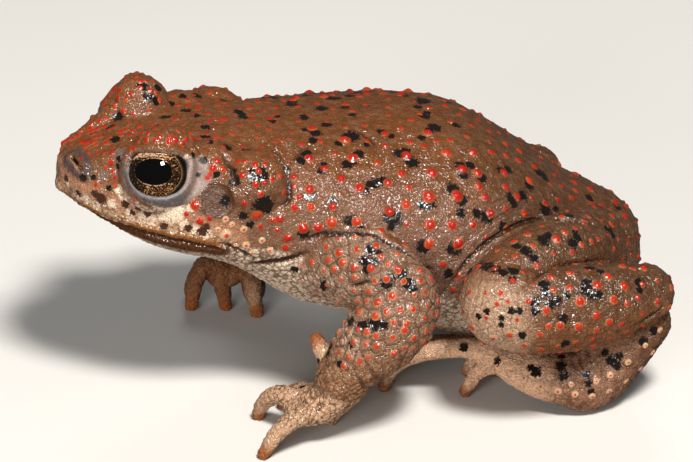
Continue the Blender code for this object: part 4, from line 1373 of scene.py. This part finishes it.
def skinMaterial(granules, patch):
    material, tree, shader = newMaterial("wetToadSkin")
    finish = skinFinish
    p = PaintTools(tree, patch, skinColours)
    fineHeight, fineGapShade = useGranules(tree, granules, p.place, finish["granuleSize"])
    paveHeight, _ = useGranules(tree, granules, p.place, finish["pavementSize"])
    broad, grain = p.noise(4.0), p.noise(0.35, 4, 0.7)
    ridges = p.size(p.less(p.noise(finish["wrinkleSize"], 1, 0.4), 0.5))
    furrow = p.size(p.less(p.noise(finish["furrowSize"], 2, 0.5), 0.5))
    head, arm, hand, leg, foot, belly = (p.field(n) for n in ("head", "arm", "hand", "leg", "foot", "belly"))
    wrist, pebble, tip = p.field("wrist"), p.field("pebble"), p.field("tip")
    lean = tree.nodes.new("ShaderNodeNewGeometry")
    split = tree.nodes.new("ShaderNodeSeparateXYZ")
    tree.links.new(lean.outputs["Normal"], split.inputs[0])
    upward = split.outputs["Z"]

    # ground colour by region
    p.colour = p.mix(p.ease(broad, 0.4, 0.62), "back", "backWarm")
    p.coat(p.ease(upward, 0.8, 0.25), "flank")
    p.coat(p.times(head, 0.85), "headSide")
    p.coat(p.field("crown"), "crown")
    p.coat(p.times(p.field("parotoid"), p.ease(upward, 0.75, 0.3), 0.75), "parotoid")
    p.coat(arm, "arm")
    p.coat(p.times(wrist, 0.8), "wrist")
    p.coat(leg, "leg")
    p.coat(p.times(p.field("rear"), p.ease(upward, -0.3, 0.5)), "rear")
    p.coat(hand, "hand")
    # the far hand painted darker red-brown: partly its browner skin, partly painted shade from lying under
    # the chin
    p.coat(p.field("shadedFarHand"), "shadedFarHand")
    p.coat(foot, "foot")
    p.coat(p.times(foot, p.ease(p.noise(1.1, 3, 0.6), 0.5, 0.62), 0.7), "heel")
    # toes painted paler: partly their pale skin, partly painted light against the shadow over them
    p.coat(p.field("toe"), "toe")
    beaded = p.times(p.plus(hand, p.times(wrist, 0.9)), p.ease(tip, 1.2, 4.5))
    # painted shade in the gaps between the beads of the hand and wrist
    p.coat(p.times(beaded, p.ease(pebble, 0.24, -0.02)), "wristGapShade")
    p.coat(p.field("heel"), "heel")
    p.coat(p.ragged(p.less(1.0, p.field("knee")), 0.6, 0.9, 0.15, 0.8), "knee")

    # face: tan cheek, pale lip with cream patches, ochre edge and pits along the mouth
    lip = p.field("lip")
    p.coat(p.ragged(p.field("lore"), 1.0, 0.7, 0.4, 0.5), "lore")
    cheekMask = p.ragged(lip, 2.7, 0.7, 0.4, 0.9)
    p.coat(cheekMask, "cheek")
    lipMask = p.ragged(lip, 1.7, 0.7, 0.5, 1.1)
    p.coat(lipMask, "lip")
    p.coat(p.times(lipMask, p.ease(p.noise(0.7, 3, 0.6), 0.5, 0.42), 0.7), "headSide")
    creamMask = p.times(lipMask, p.ease(p.noise(0.5, 3, 0.65), 0.56, 0.66))
    p.coat(p.most(creamMask, p.ragged(p.field("cream"), 1.1, 0.6, 0.5, 0.3)), "cream")
    p.coat(p.ragged(lip, 0.6, 0.16, 0.08, 0.25), "lipEdge")
    p.coat(p.ragged(p.field("pit"), 0.75, 0.5, 0.15, 0.2), "lipEdge")
    bellyMask = p.ragged(p.less(1.0, belly), 0.5, 0.5, 0.12, 0.8)
    # pale beads of the belly, with painted shade in the gaps between them
    p.coat(bellyMask, p.mix(p.ease(pebble, 0.3, 0.0), "belly", "bellyGapShade"))
    # dark brown under the jaw and on the throat: partly the skin's brown, partly painted shade from the head
    # above
    chinShade = p.ragged(p.field("jaw"), 1.3, 0.9, 0.25, 0.6)
    p.coat(p.most(p.times(p.field("throat"), 0.3), chinShade), "throat")
    nostril, ear = p.field("nostril"), p.field("ear")
    p.coat(p.ragged(p.field("nosePatch"), 1.1, 0.5, 0.3, 0.4), "nose")
    p.coat(p.times(p.ease(nostril, 0.5, 0.3), p.ease(grain, 0.42, 0.55)), "lipEdge")
    # a pale line painted along the nostril's wet front edge as a highlight
    p.coat(p.times(p.ease(p.field("nostrilHighlight"), 0.13, 0.03), 0.5), "cream")
    drum = p.ragged(ear, 1.45, 0.25, 0.1, 0.5)
    p.coat(drum, "ear")
    p.coat(p.times(p.ease(p.size(p.less(ear, 1.5)), 0.2, 0.05), 0.55), "fold")
    lidMask = p.ease(p.field("crescent"), 0.1, -0.1)
    lidColour = p.mix(p.field("lidRear"), "lid", "lidRear")
    p.coat(lidMask, p.mix(p.ease(grain, 0.55, 0.75), lidColour, "lidPale"))

    # orange-brown at the tips of fingers and toes
    p.coat(p.times(p.plus(hand, foot), p.ease(tip, 1.6, 0.3)), "tip")

    # grain of the skin as dark specks, then painted shade in the wrinkles, in the furrows where it is loose,
    # in the gaps between granules and beads, and in the lines between the cells of the arm
    p.coat(p.times(p.ragged(grain, 0.36, 0.06, 0.0, 0.3), 0.6), "fold")
    p.coat(p.times(fineGapShade, 0.36), "fold")
    p.coat(p.times(p.ease(ridges, 0.03, 0.0), 0.55), "fold")
    loose = p.times(p.less(1.0, p.most(p.most(head, hand), belly)), p.ease(upward, 0.85, 0.4))
    p.coat(p.times(p.ease(furrow, 0.022, 0.0), loose, 0.5), "fold")
    p.coat(p.times(p.ease(pebble, 0.2, 0.0), 0.25), "fold")
    limb = calc(tree, "MINIMUM", p.plus(arm, p.times(leg, 0.5)), 1.0)
    p.coat(p.times(p.ease(p.field("cell"), 0.2, 0.04), limb, 0.5), "fold")

    # black blotches, then the warts with their halos
    ink = p.ragged(p.field("ink"), 0.9, 0.22, 0.5, 0.22)
    p.coat(ink, p.mix(cheekMask, "ink", "lipInk"))
    wart, tone, pale = p.field("wart"), p.field("wartTone"), p.field("wartPale")
    plain = p.most(belly, p.times(lipMask, 0.8))
    showWart = p.less(1.0, calc(tree, "MINIMUM", plain, 1.0))
    halo = p.times(p.ragged(wart, 0.92, 0.3, 0.06, 0.3), showWart)
    p.coat(p.times(halo, p.ease(tone, -0.3, 0.9)), p.mix(limb, "halo", "limbHalo"))
    core = p.times(p.ragged(wart, 0.7, 0.16, 0.06, 0.3), showWart)
    p.coat(core, p.mix(p.most(limb, p.ease(tone, 0.7, 1.0)), "wart", "wartOrange"))
    p.coat(p.times(pale, p.ragged(wart, 1.05, 0.3, 0.05, 0.3)), "paleWart")
    p.coat(p.times(pale, p.ragged(wart, 0.4, 0.2, 0.0, 0.3)), "wartOrange")

    # painted shade in the folds, the mouth groove and the nostrils, and in the gap at the rims of the eyes
    p.coat(p.ease(p.field("fold"), 0.35, 1.0), "fold")
    p.coat(p.ease(p.field("mouth"), 0.4, 0.9), "fold")
    p.coat(p.ease(nostril, 0.2, 0.1), "ink")
    p.coat(p.ease(p.field("lid"), 0.08, 0.0), "ink")
    tree.links.new(p.colour, shader.inputs["Base Color"])

    # relief in millimetres, calmed on the lids, the warts and the blotches
    relief = p.times(fineHeight, finish["granules"])
    for height, share in (
        (ridges, finish["wrinkles"]),
        (p.times(p.ease(furrow, 0.0, 0.05), loose), finish["furrows"]),
        (p.times(paveHeight, hand), finish["pavement"]),
    ):
        relief = p.plus(relief, p.times(height, share))
    calm = p.less(p.less(1.0, p.times(lidMask, 0.85)), p.times(p.most(core, ink), 0.7))
    bump = tree.nodes.new("ShaderNodeBump")
    bump.inputs["Distance"].default_value = 0.001
    bump.inputs["Strength"].default_value = 1.0
    tree.links.new(p.times(relief, calm), bump.inputs["Height"])
    tree.links.new(bump.outputs["Normal"], shader.inputs["Normal"])
    smoothest, roughest = finish["roughness"]
    dull = p.times(p.ease(broad, 0.35, 0.65), roughest - smoothest)
    matt = p.most(p.times(lidMask, 0.4), p.times(p.less(drum, ink), 0.35))
    tree.links.new(p.plus(smoothest, p.plus(dull, matt)), shader.inputs["Roughness"])
    shader.inputs["IOR"].default_value = finish["ior"]
    return material


irisForm = {
    "pupil": (1.62, 1.14),  # half width and half height in millimetres
    "pupilShift": (-0.4, 0.14),
    "pupilPower": 2.3,
    "line": 2.66,  # radius of the thin gold line at the rear edge
    "outer": 3.05,
    "brown": (0.008, 0.005, 0.003),
    "gold": (0.480, 0.260, 0.110),
    "fleck": (0.200, 0.060, 0.020),
    "copper": (0.020, 0.009, 0.004),
    "rim": (0.560, 0.320, 0.190),
    "edge": (0.020, 0.013, 0.006),
    "black": (0.0015, 0.0015, 0.0015),
}


def eyeMaterial(patch):
    material, tree, shader = newMaterial("toadEye")
    form = irisForm
    p = PaintTools(tree, patch, form)
    across = p.less(p.field("gazeAcross"), form["pupilShift"][0])
    up = p.less(p.field("gazeUp"), form["pupilShift"][1])
    tall = p.size(up)
    shares = [p.size(calc(tree, "DIVIDE", way, half)) for way, half in zip((across, up), form["pupil"])]
    ring = p.plus(*(calc(tree, "POWER", share, form["pupilPower"]) for share in shares))
    ring = calc(tree, "POWER", ring, 1 / form["pupilPower"])
    radius = calc(tree, "SQRT", p.plus(*(calc(tree, "POWER", way, 2.0) for way in (across, up))))
    grain, blot = p.noise(0.13, 2, 0.6), p.noise(0.4, 2, 0.5)

    # gold flecks lie thickest above and below the pupil and to the rear, and the front stays dark
    front = p.times(p.ease(across, -0.5, -1.7), p.ease(up, 1.7, 0.9))
    density = p.times(p.plus(0.3, p.times(p.ease(tall, 0.7, 1.5), 0.45)), p.less(1.0, front))
    gold = p.ease(p.plus(grain, p.times(density, 0.14)), 0.64, 0.69)
    p.colour = p.mix(p.ease(blot, 0.4, 0.65), "brown", "copper")
    p.coat(p.times(front, 0.9), "brown")
    p.coat(gold, p.mix(p.ease(blot, 0.45, 0.6), "gold", "fleck"))
    top = p.times(p.ease(up, 1.2, 1.5), p.ease(grain, 0.45, 0.53))
    p.coat(p.times(top, p.ease(across, 1.6, 0.6)), "rim")
    p.coat(p.ease(radius, 2.5, 2.85), "edge")
    edgeLine = p.ease(p.size(p.less(radius, form["line"])), 0.05, 0.0)
    p.coat(p.times(edgeLine, p.ease(across, 1.4, 2.2), 0.5), "gold")
    topBottom = p.times(p.ease(tall, 0.75, 1.15), p.ease(grain, 0.4, 0.55))
    p.coat(p.times(p.ease(ring, 1.11, 1.06), topBottom), "rim")
    pupil = p.ragged(ring, 1.03, 0.07, 0.01, 0.2)
    p.coat(pupil, "black")
    p.coat(p.ease(radius, 2.8, form["outer"]), "black")
    tree.links.new(p.colour, shader.inputs["Base Color"])
    tree.links.new(p.times(gold, 0.4, p.less(1.0, pupil)), shader.inputs["Metallic"])
    for name, value in (
        ("Roughness", 0.4),
        ("Specular IOR Level", 0.0),
        ("Coat Weight", 1.0),
        ("Coat Roughness", 0.02),
        ("Coat IOR", 1.38),
    ):
        shader.inputs[name].default_value = value
    return material


# Studio


studio = {
    "floorSize": 3.0,
    "floorColour": (0.62, 0.61, 0.59),
    "worldColour": (0.92, 0.95, 1.0),
    "worldStrength": 0.07,
    # name: place in metres, size, watts, colour
    "lamps": {
        "key": ((0.035, -0.255, 0.435), 0.09, 3.9, (1.0, 0.96, 0.90)),
        "fill": ((-0.32, -0.40, 0.10), 0.25, 2.5, (1.0, 0.97, 0.93)),
        "rim": ((0.15, 0.45, 0.35), 0.2, 0.8, (0.95, 0.98, 1.0)),
        "glint": ((0.0, -0.30, 0.40), 0.15, 3.4, (1.0, 0.98, 0.95)),
    },
}


def buildStudio(skin):
    bm = bmesh.new()
    half = studio["floorSize"] / 2
    bmesh.ops.create_grid(bm, x_segments=8, y_segments=8, size=half)
    floor = newMesh("floor", bm)
    floor.location.z = -0.00002
    material, tree, shader = newMaterial("paleFloor")
    tone = noiseAt(tree, tree.nodes.new("ShaderNodeTexCoord").outputs["Object"], 0.05)
    dim = tuple(v * 0.97 for v in studio["floorColour"])
    tree.links.new(blendColour(tree, tone, studio["floorColour"], dim), shader.inputs["Base Color"])
    shader.inputs["Roughness"].default_value = 0.85
    floor.data.materials.append(material)
    floor.visible_glossy = False
    world = bpy.data.worlds.new("softRoom")
    world.use_nodes = True
    sky = world.node_tree.nodes["Background"]
    sky.inputs["Color"].default_value = (*studio["worldColour"], 1)
    sky.inputs["Strength"].default_value = studio["worldStrength"]
    bpy.context.scene.world = world
    for name, (spot, size, watts, tint) in studio["lamps"].items():
        light = bpy.data.lights.new(name, "AREA")
        light.size, light.energy, light.color = size, watts, tint
        lamp = bpy.data.objects.new(name, light)
        lamp.location = spot
        lamp.visible_glossy = name in ("key", "glint")  # the others don't show in wet skin and eyes
        if name == "glint":  # the sparkle of wet skin, and nothing else
            lamp.visible_diffuse = False
            wetThings = bpy.data.collections.new("wetThings")
            wetThings.objects.link(skin)
            lamp.light_linking.receiver_collection = wetThings
        lamp.rotation_euler = (Vector((0, 0, 0.012)) - Vector(spot)).to_track_quat("-Z", "Y").to_euler()
        bpy.context.scene.collection.objects.link(lamp)


def placeCamera(shift):
    across, up, back = viewAxes()
    camera = bpy.data.cameras.new("photoView")
    camera.sensor_width, camera.lens = viewpoint["sensor"], viewpoint["lens"]
    camera.clip_start = 0.01
    obj = bpy.data.objects.new("photoView", camera)
    spot = (Vector(viewpoint["target"]) + shift + back * viewpoint["distance"]) / 1000
    turn = Matrix((across, up, back)).transposed()
    obj.matrix_world = Matrix.Translation(spot) @ turn.to_4x4()
    bpy.context.scene.collection.objects.link(obj)
    bpy.context.scene.camera = obj


# Everything in place

print("skin")
toadSkin, shift = buildSkin()
placeCamera(shift)
print("materials")
granules, patch = granuleGroup(), patchGroup()
toadSkin.data.materials.clear()
toadSkin.data.materials.append(skinMaterial(granules, patch))
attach(toadSkin, "root")
fleshNodes = [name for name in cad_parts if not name.startswith("eye")]
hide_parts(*fleshNodes)
print("eyes")
ballMaterial = eyeMaterial(patch)
for side in sides:
    eyeball = buildEye(side, shift)
    eyeball.data.materials.append(ballMaterial)
    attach(eyeball, "root")
    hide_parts("eye_left" if side == left else "eye_right")
print("studio")
buildStudio(toadSkin)
bpy.context.scene.view_settings.view_transform = "Standard"
